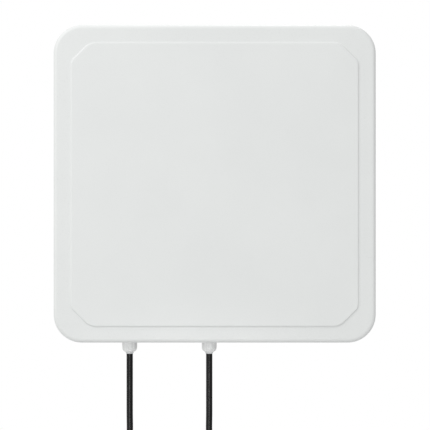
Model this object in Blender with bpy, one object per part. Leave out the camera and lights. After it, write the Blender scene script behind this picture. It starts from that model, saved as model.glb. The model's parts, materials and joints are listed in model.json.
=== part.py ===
"""A wall panel of a security gate: a flat square antenna with its reader inside, on a tilting
steel bracket, with a power lead and a data lead leaving through glands in its lower edge.

Metres, +Z up, +X to the right seen from the front, and the front faces -Y. The origin is the
middle of the wall bracket's rear face. Positive tilt turns the front face down.
"""

import math

import bmesh
import bpy
from mathutils import Matrix, Vector

# Driving dimensions, in metres.
PANEL_WIDTH = 0.445
PANEL_HEIGHT = 0.439
CORNER_RADIUS = 0.039
CORNER_STEPS = 7
GAP = 0.0003

# Depths, from the wall at y = 0 to the raised field on the front.
TILT_Y = -0.055
HOUSING_BACK_Y = -0.090
HOUSING_FLOOR = 0.0025
COVER_BACK_Y = -0.118
FLANGE_BACK_Y = -0.120
FLANGE_FRONT_Y = -0.123
COVER_INNER_Y = -0.1435
RIM_Y = -0.1465
FIELD_Y = -0.1485
EDGE_FILLET = 0.006
FILLET_STEPS = 4

# The raised field on the cover: its margins to the panel's outline, and its cut corners.
FIELD_SIDE = 0.0232
FIELD_TOP = 0.0238
FIELD_BOTTOM = 0.0215
FIELD_CUT = 0.0265
FIELD_SLOPE = 0.0028
FIELD_BENDS = (0.014, 0.024)

# Insets from the panel's outline.
COVER_WALL = 0.003
RIB_OUTSIDE = 0.0145
RIB_INSIDE = 0.0165
FLANGE_OUTSIDE = 0.0035
FLANGE_INSIDE = 0.0195
TRAY_OUTSIDE = 0.010
TRAY_INSIDE = 0.0125
SCREW_INSET = 0.0067
VENT_PLACE = (0.150, -0.150)

# Antenna and reader.
PLANE_SIZE = (0.400, 0.392)
PLANE_BACK_Y = -0.1230
PLANE_FRONT_Y = -0.1245
PATCH_SIDE = 0.145
PATCH_CUT = 0.020
PATCH_PITCH = 0.195
PATCH_BACK_Y = -0.1365
PATCH_FRONT_Y = -0.1375
COLUMNS = (0.178, 0.172)
BOARD_FRONT_Y = -0.0975
BOARD_BACK_Y = -0.0959
BOARD_X = (-0.150, 0.050)
BOARD_Z = (-0.165, -0.065)
BOARD_SCREW_INSET = 0.008

# Brackets and their fasteners.
WALL_PLATE = (0.120, 0.140)
PANEL_PLATE = (0.124, 0.128)
STEEL = 0.003
WALL_EAR_X = 0.060
PANEL_EAR_X = 0.0565
EAR_RADIUS = 0.030
PANEL_EAR_RADIUS = 0.028
SLOT_RADIUS = 0.020
TILT_LIMIT = math.radians(20)
FIXING_PITCH = 0.100
BOLT_RADIUS = 0.003
BOLT_HOLE = 0.0033
BOLT_HEX = 0.005
PIVOT_RADIUS = 0.004
PIVOT_HOLE = 0.0043

# Leads and glands.
LEAD_RADIUS = 0.0045
GLAND_Y = -0.104
POWER_X = -0.1204
DATA_X = -0.0078
WALL_BOTTOM_Z = -PANEL_HEIGHT / 2 + TRAY_OUTSIDE
WALL_TOP_Z = -PANEL_HEIGHT / 2 + TRAY_INSIDE
MOUTH_Z = -0.2390
GLAND_HEX = 0.0104
GLAND_THREAD = 0.0079
GLAND_BORE = 0.0055
SWING_ROOM = 0.0018
COIL_RADIUS = 0.0449
BUNDLE_RADIUS = 0.0075
COIL_Z = -0.4468
COIL_SHIFT = 0.004
STRAND_TURN = math.radians(31.5)
TAIL_END_Z = -0.5356

ROUND = 12
HEX = "hex"
AXIS_X = Vector((1, 0, 0))
AXIS_Y = Vector((0, 1, 0))
AXIS_Z = Vector((0, 0, 1))


# Scene, materials and placing.
def clear_scene():
    for thing in list(bpy.data.objects):
        bpy.data.objects.remove(thing, do_unlink=True)


def material(name, colour, roughness, metallic=0.0):
    made = bpy.data.materials.new(name)
    made.use_nodes = True
    shader = made.node_tree.nodes["Principled BSDF"]
    shader.inputs["Base Color"].default_value = (*colour, 1)
    shader.inputs["Roughness"].default_value = roughness
    shader.inputs["Metallic"].default_value = metallic
    return made


def pivot(name, place):
    """An empty on a joint's axis, which carries the pieces that turn about it."""
    made = bpy.data.objects.new(name, None)
    made.location = place
    bpy.context.scene.collection.objects.link(made)
    return made


def add_piece(name, bm, finish, parent=None, origin=(0, 0, 0), smooth=True):
    """One named object from a bmesh in world places, with its own origin and its parent."""
    bmesh.ops.recalc_face_normals(bm, faces=bm.faces)
    origin = Vector(origin)
    mesh = bpy.data.meshes.new(name)
    bm.to_mesh(mesh)
    bm.free()
    mesh.transform(Matrix.Translation(-origin))
    if smooth:
        mesh.shade_smooth()
        mesh.set_sharp_from_angle(angle=math.radians(35))
    piece = bpy.data.objects.new(name, mesh)
    bpy.context.scene.collection.objects.link(piece)
    piece.location = origin
    if finish:
        mesh.materials.append(finish)
    if parent:
        piece.parent = parent
        piece.location = origin - parent.location
    return piece


def add_boolean(piece, name, bm, operation):
    """Joins or cuts a piece with the shapes in a bmesh, in world places."""
    cutter = add_piece(name, bm, None, smooth=False)
    cutter.display_type = "WIRE"
    cutter.hide_render = True
    step = piece.modifiers.new(name, "BOOLEAN")
    step.operation = operation
    step.solver = "EXACT"
    step.object = cutter


# Shapes, each added to a bmesh.
def add_loft(bm, loops, closed=False):
    """Skins a row of point loops; the ends are capped, or joined to each other if closed."""
    rings = [[bm.verts.new(p) for p in loop] for loop in loops]
    pairs = list(zip(rings, rings[1:]))
    if closed:
        pairs.append((rings[-1], rings[0]))
    else:
        bm.faces.new(rings[0])
        bm.faces.new(reversed(rings[-1]))
    for one, two in pairs:
        for k in range(len(one)):
            following = (k + 1) % len(one)
            bm.faces.new((one[k], one[following], two[following], two[k]))


def ring_point(entry, step, segments):
    """The radius of a turned profile's entry at one step round its axis."""
    if len(entry) == 2:
        return entry[0]
    sixth = math.pi / 3
    angle = (2 * math.pi * step / segments) % sixth
    return entry[0] / math.cos(angle - sixth / 2)


def add_turned(bm, profile, place, axis=AXIS_Z, segments=ROUND):
    """Turns (radius, height) entries about an axis; an entry with HEX is a hexagon.
    A profile that starts and ends on the axis is a solid; any other is closed into a ring."""
    turn = AXIS_Z.rotation_difference(axis)
    rings = []
    for entry in profile:
        if entry[0] == 0:
            rings.append([bm.verts.new(Vector(place) + turn @ Vector((0, 0, entry[1])))])
            continue
        ring = []
        for step in range(segments):
            angle = 2 * math.pi * step / segments
            radius = ring_point(entry, step, segments)
            point = Vector((radius * math.cos(angle), radius * math.sin(angle), entry[1]))
            ring.append(bm.verts.new(Vector(place) + turn @ point))
        rings.append(ring)
    pairs = list(zip(rings, rings[1:]))
    if profile[0][0] != 0:
        pairs.append((rings[-1], rings[0]))
    for one, two in pairs:
        for k in range(segments):
            following = (k + 1) % segments
            if len(one) == 1:
                bm.faces.new((one[0], two[following], two[k]))
            elif len(two) == 1:
                bm.faces.new((one[k], one[following], two[0]))
            else:
                bm.faces.new((one[k], one[following], two[following], two[k]))


def column(radius, length):
    """The turned profile of a plain cylinder, from its foot up."""
    return [(0, 0), (radius, 0), (radius, length), (0, length)]


def add_box(bm, low, high):
    size = Vector(high) - Vector(low)
    middle = (Vector(high) + Vector(low)) / 2
    place = Matrix.Translation(middle) @ Matrix.Diagonal((*size, 1))
    bmesh.ops.create_cube(bm, size=1, matrix=place)


def add_prism(bm, outline, low, high):
    """A flat (y, z) outline given thickness along X, from low to high."""
    add_loft(bm, [[Vector((x, y, z)) for y, z in outline] for x in (low, high)])


def add_plate(bm, outline, back, front):
    """A flat (x, z) outline given thickness along Y, from back to front."""
    add_loft(bm, [[Vector((x, y, z)) for x, z in outline] for y in (back, front)])


def corner_arc(centre, radius, start, sweep, steps):
    """Points along an arc in a plane, both ends included."""
    angles = [start + sweep * k / steps for k in range(steps + 1)]
    return [(centre[0] + radius * math.cos(a), centre[1] + radius * math.sin(a)) for a in angles]


def rounded_outline(width, height, radius, steps=CORNER_STEPS):
    """A rectangle with round corners, anticlockwise from its right side's upper corner."""
    outline = []
    for quarter, (side, level) in enumerate(((1, 1), (-1, 1), (-1, -1), (1, -1))):
        centre = (side * (width / 2 - radius), level * (height / 2 - radius))
        outline += corner_arc(centre, radius, quarter * math.pi / 2, math.pi / 2, steps)
    return outline


def panel_loop(inset, y):
    """The panel's outline moved inwards, at a depth."""
    size = (PANEL_WIDTH - 2 * inset, PANEL_HEIGHT - 2 * inset)
    return [Vector((x, y, z)) for x, z in rounded_outline(*size, CORNER_RADIUS - inset)]


def field_loop(inset, y):
    """The raised field's outline moved inwards: a rectangle whose cut corners have soft bends."""
    half_width = PANEL_WIDTH / 2 - FIELD_SIDE - inset
    half_height = (PANEL_HEIGHT - FIELD_TOP - FIELD_BOTTOM) / 2 - inset
    centre_z = (FIELD_BOTTOM - FIELD_TOP) / 2
    cut = FIELD_CUT - inset * (2 - math.sqrt(2))
    side_bend, level_bend = (bend - inset for bend in FIELD_BENDS)
    eighth = math.pi / 4
    steps = CORNER_STEPS // 2
    slack = math.tan(eighth / 2)
    side_centre = (half_width - side_bend, half_height - cut - side_bend * slack)
    level_centre = (half_width - cut - level_bend * slack, half_height - level_bend)
    corner = corner_arc(side_centre, side_bend, 0, eighth, steps)
    corner += corner_arc(level_centre, level_bend, eighth, eighth, steps)
    loop = []
    for side, level in ((1, 1), (-1, 1), (-1, -1), (1, -1)):
        ordered = corner if side * level > 0 else corner[::-1]
        loop += [Vector((side * x, y, level * z + centre_z)) for x, z in ordered]
    return loop


# The panel's shells.
def screw_places():
    """Where the cover's eight screws sit, two along each side."""
    half_x = PANEL_WIDTH / 2 - SCREW_INSET
    half_z = PANEL_HEIGHT / 2 - SCREW_INSET
    beside = [(side * half_x, level * 0.120) for side in (-1, 1) for level in (-1, 1)]
    above = [(side * 0.165, level * half_z) for side in (-1, 1) for level in (-1, 1)]
    return beside + above


def fixing_places():
    """Where the panel bracket is bolted to the tray."""
    half = FIXING_PITCH / 2
    return [(side * half, level * half) for side in (-1, 1) for level in (-1, 1)]


def make_front_radome(finish, parent):
    """The cover: a raised field, a filleted rim, a rib that presses the gasket, and screw bosses."""
    fillet = []
    for k in range(FILLET_STEPS + 1):
        angle = math.pi / 2 * k / FILLET_STEPS
        inset = EDGE_FILLET * (1 - math.cos(angle))
        fillet.append(panel_loop(inset, RIM_Y + EDGE_FILLET * (1 - math.sin(angle))))
    loops = [
        field_loop(FIELD_SLOPE, FIELD_Y),
        field_loop(0, RIM_Y),
        *reversed(fillet),
        panel_loop(0, COVER_BACK_Y),
        panel_loop(COVER_WALL, COVER_BACK_Y),
        panel_loop(COVER_WALL, COVER_INNER_Y),
        panel_loop(RIB_OUTSIDE, COVER_INNER_Y),
        panel_loop(RIB_OUTSIDE, FLANGE_FRONT_Y - 0.0036),
        panel_loop(RIB_INSIDE, FLANGE_FRONT_Y - 0.0036),
        panel_loop(RIB_INSIDE, COVER_INNER_Y),
    ]
    bm = bmesh.new()
    add_loft(bm, loops)
    radome = add_piece("front_radome", bm, finish, parent)
    bosses = bmesh.new()
    mouth = FLANGE_FRONT_Y - GAP
    hole_floor, root = mouth - 0.0125, COVER_INNER_Y - 0.0005
    profile = [(0, hole_floor), (0.0017, hole_floor), (0.0017, mouth)]
    profile += [(0.0042, mouth), (0.0042, root), (0, root)]
    for x, z in screw_places():
        add_turned(bosses, profile, (x, 0, z), AXIS_Y)
    add_boolean(radome, "radome_bosses", bosses, "UNION")


def make_rear_housing(finish, parent):
    """The tray: a flange for the cover, columns for what it carries, and bores in its walls."""
    soft = 0.003
    loops = [
        panel_loop(TRAY_OUTSIDE + soft, HOUSING_BACK_Y),
        panel_loop(TRAY_OUTSIDE + 0.3 * soft, HOUSING_BACK_Y - 0.3 * soft),
        panel_loop(TRAY_OUTSIDE, HOUSING_BACK_Y - soft),
        panel_loop(TRAY_OUTSIDE, FLANGE_BACK_Y),
        panel_loop(FLANGE_OUTSIDE, FLANGE_BACK_Y),
        panel_loop(FLANGE_OUTSIDE, FLANGE_FRONT_Y),
        panel_loop(FLANGE_INSIDE, FLANGE_FRONT_Y),
        panel_loop(FLANGE_INSIDE, FLANGE_BACK_Y),
        panel_loop(TRAY_INSIDE, FLANGE_BACK_Y),
        panel_loop(TRAY_INSIDE, HOUSING_BACK_Y - HOUSING_FLOOR),
    ]
    bm = bmesh.new()
    add_loft(bm, loops)
    housing = add_piece("rear_housing", bm, finish, parent)
    columns = bmesh.new()
    inside = HOUSING_BACK_Y - HOUSING_FLOOR / 2
    for side in (-1, 1):
        for level in (-1, 1):
            place = (side * COLUMNS[0], inside, level * COLUMNS[1])
            add_turned(columns, column(0.005, inside - PLANE_BACK_Y - GAP), place, -AXIS_Y)
    for x, z in fixing_places():
        add_turned(columns, column(0.008, 0.0140), (x, inside, z), -AXIS_Y)
    for x in (BOARD_X[0] + BOARD_SCREW_INSET, BOARD_X[1] - BOARD_SCREW_INSET):
        for z in (BOARD_Z[0] + BOARD_SCREW_INSET, BOARD_Z[1] - BOARD_SCREW_INSET):
            add_turned(columns, column(0.003, inside - BOARD_BACK_Y - GAP), (x, inside, z), -AXIS_Y)
    add_boolean(housing, "housing_columns", columns, "UNION")
    holes = bmesh.new()
    for x, z in fixing_places():
        add_turned(holes, column(BOLT_HOLE, 0.0125 + GAP), (x, HOUSING_BACK_Y + GAP, z), -AXIS_Y)
    for x, z in screw_places():
        add_turned(holes, column(0.0018, 0.006), (x, FLANGE_BACK_Y + 0.001, z), -AXIS_Y)
    for x in (POWER_X, DATA_X):
        add_turned(holes, column(0.0083, 0.006), (x, GLAND_Y, WALL_BOTTOM_Z - 0.001), AXIS_Z)
    vent = (VENT_PLACE[0], HOUSING_BACK_Y + 0.001, VENT_PLACE[1])
    add_turned(holes, column(0.0063, 0.006), vent, -AXIS_Y)
    add_boolean(housing, "housing_holes", holes, "DIFFERENCE")


def make_gasket(finish, parent):
    """A foam frame between the cover's rib and the tray's flange."""
    bm = bmesh.new()
    front, back = FLANGE_FRONT_Y - 0.0033, FLANGE_FRONT_Y - GAP
    outside, inside = RIB_OUTSIDE - 0.001, RIB_INSIDE + 0.001
    section = ((outside, back), (outside, front), (inside, front), (inside, back))
    add_loft(bm, [panel_loop(inset, y) for inset, y in section], closed=True)
    add_piece("perimeter_gasket", bm, finish, parent)


def make_cover_screws(finish, parent):
    head = FLANGE_BACK_Y + GAP
    for number, (x, z) in enumerate(screw_places(), 1):
        bm = bmesh.new()
        profile = [(0, 0), (0.0018, 0), (0.0027, -0.0007), (0.0027, -0.0017)]
        profile += [(0.0014, -0.0017), (0.0014, -0.0150), (0, -0.0156)]
        add_turned(bm, profile, (x, head + 0.0017, z), AXIS_Y)
        add_piece(f"cover_screw_{number}", bm, finish, parent, (x, head, z))


def make_vent_plug(finish, parent):
    x, z = VENT_PLACE
    bm = bmesh.new()
    profile = [(0, 0.0035), (0.0060, 0.0035), (0.0085, 0.0020), (0.0085, GAP), (0.0060, GAP)]
    profile += [(0.0060, -0.0060), (0, -0.0060)]
    add_turned(bm, profile, (x, HOUSING_BACK_Y, z), AXIS_Y, 18)
    add_piece("vent_plug", bm, finish, parent, (x, HOUSING_BACK_Y, z))


# Antenna and reader.
def make_ground_plane(finish, parent):
    """The aerials' metal sheet, with a hole for each post and one for the jumper."""
    bm = bmesh.new()
    add_plate(bm, rounded_outline(*PLANE_SIZE, 0.017, 3), PLANE_BACK_Y, PLANE_FRONT_Y)
    plane = add_piece("ground_plane", bm, finish, parent, smooth=False)
    holes = bmesh.new()
    for x, z in [(0, 0)] + patch_places():
        radius = 0.0023 if x else 0.004
        add_turned(holes, column(radius, 0.0035), (x, PLANE_BACK_Y + 0.001, z), -AXIS_Y)
    add_boolean(plane, "ground_plane_holes", holes, "DIFFERENCE")


def patch_places():
    half = PATCH_PITCH / 2
    return [(side * half, level * half) for side in (-1, 1) for level in (-1, 1)]


def make_patches(patch_finish, post_finish, parent):
    half, cut = PATCH_SIDE / 2, PATCH_CUT
    outline = [(half, -half), (half, half - cut), (half - cut, half), (-half, half)]
    outline += [(-half, -half + cut), (-half + cut, -half)]
    for number, (x, z) in enumerate(patch_places(), 1):
        bm = bmesh.new()
        add_plate(bm, [(x + a, z + b) for a, b in outline], PATCH_BACK_Y, PATCH_FRONT_Y)
        place = (x, PATCH_BACK_Y, z)
        patch = add_piece(f"patch_radiator_{number}", bm, patch_finish, parent, place, False)
        hole = bmesh.new()
        add_turned(hole, column(0.0023, 0.003), (x, PATCH_BACK_Y + 0.001, z), -AXIS_Y)
        add_boolean(patch, f"patch_hole_{number}", hole, "DIFFERENCE")
        make_patch_post(number, x, z, post_finish, parent)


def make_patch_post(number, x, z, finish, parent):
    """A post between the ground plane and a patch, with a neck and a snap head at each end."""
    neck = 0.0019
    bm = bmesh.new()
    profile = [
        (0, PLANE_BACK_Y + 0.0020),
        (0.0035, PLANE_BACK_Y + 0.0014),
        (0.0035, PLANE_BACK_Y + GAP),
        (neck, PLANE_BACK_Y + GAP),
        (neck, PLANE_FRONT_Y - GAP),
        (0.005, PLANE_FRONT_Y - GAP),
        (0.005, PATCH_BACK_Y + GAP),
        (neck, PATCH_BACK_Y + GAP),
        (neck, PATCH_FRONT_Y - GAP),
        (0.0035, PATCH_FRONT_Y - GAP),
        (0.0035, PATCH_FRONT_Y - 0.0014),
        (0, PATCH_FRONT_Y - 0.0020),
    ]
    add_turned(bm, profile, (x, 0, z), AXIS_Y)
    add_piece(f"patch_post_{number}", bm, finish, parent, (x, PLANE_FRONT_Y, z))


def make_feed_board(finish, parent):
    """An H of printed board that carries the signal to a pin under each patch."""
    bar, arm, cross = 0.052, 0.010, 0.012
    reach = 0.130
    outline = [(-bar - arm, -reach), (-bar + arm, -reach), (-bar + arm, -cross), (bar - arm, -cross)]
    outline += [(bar - arm, -reach), (bar + arm, -reach), (bar + arm, reach), (bar - arm, reach)]
    outline += [(bar - arm, cross), (-bar + arm, cross), (-bar + arm, reach), (-bar - arm, reach)]
    bm = bmesh.new()
    back = PLANE_FRONT_Y - GAP
    add_plate(bm, outline, back, back - 0.0016)
    board = add_piece("feed_board", bm, finish, parent, smooth=False)
    pins = bmesh.new()
    for side in (-1, 1):
        for level in (-1, 1):
            place = (side * bar, back - 0.0008, level * PATCH_PITCH / 2)
            add_turned(pins, column(0.0015, back - 0.0008 - PATCH_BACK_Y - GAP), place, -AXIS_Y, 8)
    add_boolean(board, "feed_pins", pins, "UNION")


def make_reader(board_finish, shield_finish, block_finish, parent):
    """The reader's board, with a shield, the power terminals and the data socket on its front."""
    bm = bmesh.new()
    add_box(bm, (BOARD_X[0], BOARD_FRONT_Y, BOARD_Z[0]), (BOARD_X[1], BOARD_BACK_Y, BOARD_Z[1]))
    add_piece("reader_board", bm, board_finish, parent, (0, BOARD_FRONT_Y, BOARD_Z[1]), False)
    make_shield(shield_finish, parent)
    back, front, low, high = BOARD_FRONT_Y - GAP, BOARD_FRONT_Y - 0.0135, -0.160, -0.144
    connectors = (
        ("terminal_block", POWER_X, 0.030, block_finish),
        ("data_socket", DATA_X, 0.018, shield_finish),
    )
    for name, x, width, finish in connectors:
        bm = bmesh.new()
        add_box(bm, (x - width / 2, front, low), (x + width / 2, back, high))
        add_piece(name, bm, finish, parent, (x, BOARD_FRONT_Y, low), False)


def make_shield(finish, parent):
    """A thin can, open towards the board."""
    width, height, depth, wall = 0.090, 0.056, 0.0107, 0.0008
    centre_x, centre_z = -0.020, -0.104
    back = BOARD_FRONT_Y - GAP
    front = back - depth
    loops = []
    for inset, depths in ((0, (front, back)), (wall, (back, front + wall))):
        flat = rounded_outline(width - 2 * inset, height - 2 * inset, 0.003, 2)
        for y in depths:
            loops.append([Vector((x + centre_x, y, z + centre_z)) for x, z in flat])
    bm = bmesh.new()
    add_loft(bm, loops)
    add_piece("rf_shield", bm, finish, parent, (centre_x, back, centre_z), False)


def make_antenna_jumper(finish, parent):
    route = ((0.038, -0.0993, -0.092), (0.038, -0.106, -0.072), (0.026, -0.1125, -0.040))
    route += ((0.008, -0.1150, -0.012), (0, -0.1190, -0.001), (0, PLANE_FRONT_Y, 0))
    make_tube("antenna_jumper", route, 0.0013, 0.005, finish, parent)


# Glands and leads.
def make_gland(name, x, finishes, parent):
    """A cable gland in the lower wall: threaded body, cap nut, rubber seal and locknut."""
    nylon, rubber = finishes
    place = (x, GLAND_Y, 0)
    bm = bmesh.new()
    top, wall = WALL_TOP_Z + 0.008, WALL_BOTTOM_Z - GAP
    foot, end = wall - 0.0050, wall - 0.0105
    profile = [(GLAND_BORE, top), (GLAND_THREAD, top), (GLAND_THREAD, wall), (GLAND_HEX, wall, HEX)]
    profile += [(GLAND_HEX, foot, HEX), (0.0074, foot), (0.0074, end), (GLAND_BORE, end)]
    add_turned(bm, profile, place, segments=24)
    add_piece(f"{name}_gland_body", bm, nylon, parent, (x, GLAND_Y, wall))
    bm = bmesh.new()
    rim, shoulder, mouth = foot - GAP, MOUTH_Z + 0.0089, MOUTH_Z + 0.0023
    profile = [(0.0078, rim), (0.0102, rim), (0.0106, rim - 0.0010), (0.0106, shoulder)]
    profile += [(0.0100, shoulder - 0.0028), (0.0086, shoulder - 0.0048), (0.0068, mouth)]
    profile += [(0.0059, mouth), (0.0059, shoulder), (0.0078, shoulder)]
    add_turned(bm, profile, place, segments=24)
    add_piece(f"{name}_gland_cap", bm, nylon, parent, (x, GLAND_Y, rim))
    bm = bmesh.new()
    inside = LEAD_RADIUS + GAP
    profile = [(inside, wall - 0.0110), (0.0056, wall - 0.0110), (0.0056, mouth - 0.0006)]
    profile += [(0.0054, MOUTH_Z + 0.0006), (0.0050, MOUTH_Z), (inside, MOUTH_Z)]
    add_turned(bm, profile, place, segments=18)
    add_piece(f"{name}_gland_seal", bm, rubber, parent, (x, GLAND_Y, mouth))
    bm = bmesh.new()
    low, high, hole = WALL_TOP_Z + GAP, WALL_TOP_Z + 0.0050, GLAND_THREAD + GAP
    profile = [(hole, low), (GLAND_HEX, low, HEX), (GLAND_HEX, high, HEX), (hole, high)]
    add_turned(bm, profile, place, segments=24)
    add_piece(f"{name}_gland_locknut", bm, nylon, parent, (x, GLAND_Y, WALL_TOP_Z))


def smooth_route(route, spacing):
    """Evenly spaced points on a smooth curve through a route's own points."""
    route = [Vector(p) for p in route]
    padded = [2 * route[0] - route[1]] + route + [2 * route[-1] - route[-2]]
    dense = []
    for before, one, two, after in zip(padded, padded[1:], padded[2:], padded[3:]):
        for k in range(24):
            t = k / 24
            bend = (2 * before - 5 * one + 4 * two - after) * t * t
            bend += (3 * (one - two) + after - before) * t**3
            dense.append((2 * one + (two - before) * t + bend) / 2)
    dense.append(route[-1])
    lengths = [0]
    for one, two in zip(dense, dense[1:]):
        lengths.append(lengths[-1] + (two - one).length)
    count = max(2, round(lengths[-1] / spacing))
    points, at = [], 0
    for k in range(count + 1):
        wanted = lengths[-1] * k / count
        while at < len(dense) - 2 and lengths[at + 1] < wanted:
            at += 1
        share = (wanted - lengths[at]) / (lengths[at + 1] - lengths[at])
        points.append(dense[at].lerp(dense[at + 1], share))
    return points


def make_tube(name, route, radius, spacing, finish, parent):
    """A round cord along a route, as a curve with a bevel and filled ends."""
    origin = Vector(route[0])
    points = smooth_route(route, spacing)
    curve = bpy.data.curves.new(name, "CURVE")
    curve.dimensions = "3D"
    curve.bevel_depth = radius
    curve.bevel_resolution = 3
    curve.use_fill_caps = True
    spline = curve.splines.new("POLY")
    spline.points.add(len(points) - 1)
    for point, place in zip(spline.points, points):
        point.co = (*(place - origin), 1)
    curve.materials.append(finish)
    cord = bpy.data.objects.new(name, curve)
    bpy.context.scene.collection.objects.link(cord)
    cord.location = origin - parent.location
    cord.parent = parent


def lead_route(x, side):
    """Down from the gland's mouth to just past the panel, then over towards the coil."""
    drop = ((0, MOUTH_Z - GAP), (0, -0.2766), (0, -0.3216), (0, -0.3516))
    sweep = ((-0.0034, -0.3688), (-0.0132, -0.3834), (-0.0158, -0.3860))
    return [(x + side * across, GLAND_Y, z) for across, z in drop + sweep]


def make_coil(name, x, finish, parent):
    """The outer shape of the coiled length: turns laid round each other like the strands of a rope."""
    section = BUNDLE_RADIUS + LEAD_RADIUS
    bm = bmesh.new()
    profile = corner_arc((COIL_RADIUS, 0), section, 0, 2 * math.pi, ROUND)[:-1]
    add_turned(bm, profile, (x, GLAND_Y, COIL_Z), -AXIS_Y, 40)
    add_piece(name, bm, finish, parent, (x, GLAND_Y, COIL_Z))


def make_tie(name, x, finish, parent):
    """A flat strap round the coil's section, at its top."""
    half, strap = 0.004, 0.0012
    inside = BUNDLE_RADIUS + LEAD_RADIUS + 2 * GAP
    place = (x, GLAND_Y, COIL_Z + COIL_RADIUS)
    bm = bmesh.new()
    profile = [(inside, -half), (inside + strap, -half), (inside + strap, half), (inside, half)]
    add_turned(bm, profile, place, AXIS_X, 24)
    add_piece(name, bm, finish, parent, place)


def tail_place(x, side, z):
    """A point of the tail: it leaves the coil's outer side, a little behind the lead."""
    across = COIL_SHIFT + COIL_RADIUS + BUNDLE_RADIUS * math.cos(STRAND_TURN)
    return (x - side * across, GLAND_Y + BUNDLE_RADIUS * math.sin(STRAND_TURN), z)


def tail_route(x, side):
    """From the coil's outer side straight down to the plug."""
    return [tail_place(x, side, z) for z in (COIL_Z - 0.0342, -0.5016, -0.5186, TAIL_END_Z)]


def make_power_plug(place, finish, parent):
    """A barrel plug with a tapered sleeve, pointing down."""
    profile = [(0, 0), (0.0054, 0), (0.0060, -0.0140), (0.0072, -0.0150), (0.0072, -0.0350)]
    profile += [(0.0066, -0.0360), (0.00275, -0.0360), (0.00275, -0.0455)]
    profile += [(0.0012, -0.0455), (0.0012, -0.0375), (0, -0.0375)]
    bm = bmesh.new()
    add_turned(bm, profile, place, segments=24)
    add_piece("power_plug", bm, finish, parent, place)


def make_data_plug(place, finish, parent):
    """A modular plug with a tapered sleeve and its latch, pointing down."""
    levels = ((0, 0.0108, 0.0108, 0.0052), (-0.0160, 0.0124, 0.0116, 0.0030))
    levels += ((-0.0180, 0.0130, 0.0100, 0.0012), (-0.0260, 0.0130, 0.0100, 0.0012))
    levels += ((-0.0265, 0.0117, 0.0083, 0.0006), (-0.0440, 0.0117, 0.0083, 0.0006))
    loops = []
    for height, width, depth, radius in levels:
        flat = rounded_outline(width, depth, radius, 3)
        loops.append([place + Vector((across, along, height)) for across, along in flat])
    bm = bmesh.new()
    add_loft(bm, loops)
    plug = add_piece("data_plug", bm, finish, parent, place)
    latch = bmesh.new()
    front = place.y - 0.0083 / 2
    outline = [(front + 0.001, -0.0435), (front - 0.0008, -0.0435), (front - 0.0030, -0.0275)]
    outline += [(front - 0.0018, -0.0270), (front + 0.001, -0.0410)]
    add_prism(latch, [(y, place.z + z) for y, z in outline], place.x - 0.003, place.x + 0.003)
    add_boolean(plug, "data_plug_latch", latch, "UNION")


def make_lead(name, x, side, finishes, parent):
    """The free run of one lead: down past the panel, the tied coil and the tail to the plug."""
    sheath, strap, plug_body = finishes
    make_tube(f"{name}_lead", lead_route(x, side), LEAD_RADIUS, 0.0125, sheath, parent)
    make_coil(f"{name}_lead_coil", x - side * COIL_SHIFT, sheath, parent)
    make_tie(f"{name}_lead_tie", x - side * COIL_SHIFT, strap, parent)
    make_tube(f"{name}_lead_tail", tail_route(x, side), LEAD_RADIUS, 0.0125, sheath, parent)
    make_plug = make_power_plug if name == "power" else make_data_plug
    make_plug(Vector(tail_place(x, side, TAIL_END_Z - GAP)), plug_body, parent)


def make_inner_lead(name, x, finish, parent):
    """The lead inside the gland and the tray. It ends a little way up the seal's bore, so that the
    free lead has room to swing at the mouth."""
    route = [(x, GLAND_Y, z) for z in (MOUTH_Z + SWING_ROOM, -0.210, -0.185, -0.160 - GAP)]
    make_tube(f"{name}_lead_inner", route, LEAD_RADIUS, 0.0250, finish, parent)


# Brackets.
def ear_outline(base_y, base_half, radius, lean):
    """An ear in (y, z): a base edge and a round end about the tilt axis."""
    side = 1 if base_y > TILT_Y else -1
    start = math.radians(lean)
    arc = corner_arc((0, 0), radius, start, 2 * (math.pi - start), 12)
    return [(base_y, -base_half), (base_y, base_half)] + [(TILT_Y + side * y, z) for y, z in arc]


def make_wall_bracket(finish):
    """The plate on the wall, with its slots, and two ears with pivot holes and arc slots."""
    bm = bmesh.new()
    add_plate(bm, rounded_outline(*WALL_PLATE, 0.008, 3), 0, -STEEL)
    bracket = add_piece("wall_bracket", bm, finish, smooth=False)
    ears = bmesh.new()
    for side in (-1, 1):
        outline = ear_outline(-STEEL / 2, 0.045, EAR_RADIUS, 50)
        faces = sorted((side * WALL_EAR_X, side * (WALL_EAR_X - STEEL)))
        add_prism(ears, outline, *faces)
    add_boolean(bracket, "wall_ears", ears, "UNION")
    cuts = bmesh.new()
    half, thick = BOLT_HOLE, 0.012
    for x in (-0.035, 0.035):
        for z in (-0.052, 0.052):
            slot = [(x + a, z + b) for a, b in rounded_outline(0.015, 2 * half, half - 0.0001, 4)]
            add_plate(cuts, slot, STEEL, -thick / 2)
    reach = TILT_LIMIT + 0.0002 / SLOT_RADIUS
    for side in (-1, 1):
        faces = sorted((side * (WALL_EAR_X + STEEL), side * (WALL_EAR_X - 2 * STEEL)))
        add_prism(cuts, arc_slot(reach, 0.0034), *faces)
        start = side * WALL_EAR_X - thick / 2
        add_turned(cuts, column(PIVOT_HOLE, thick), (start, TILT_Y, 0), AXIS_X, 18)
    add_boolean(bracket, "wall_bracket_holes", cuts, "DIFFERENCE")


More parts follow.
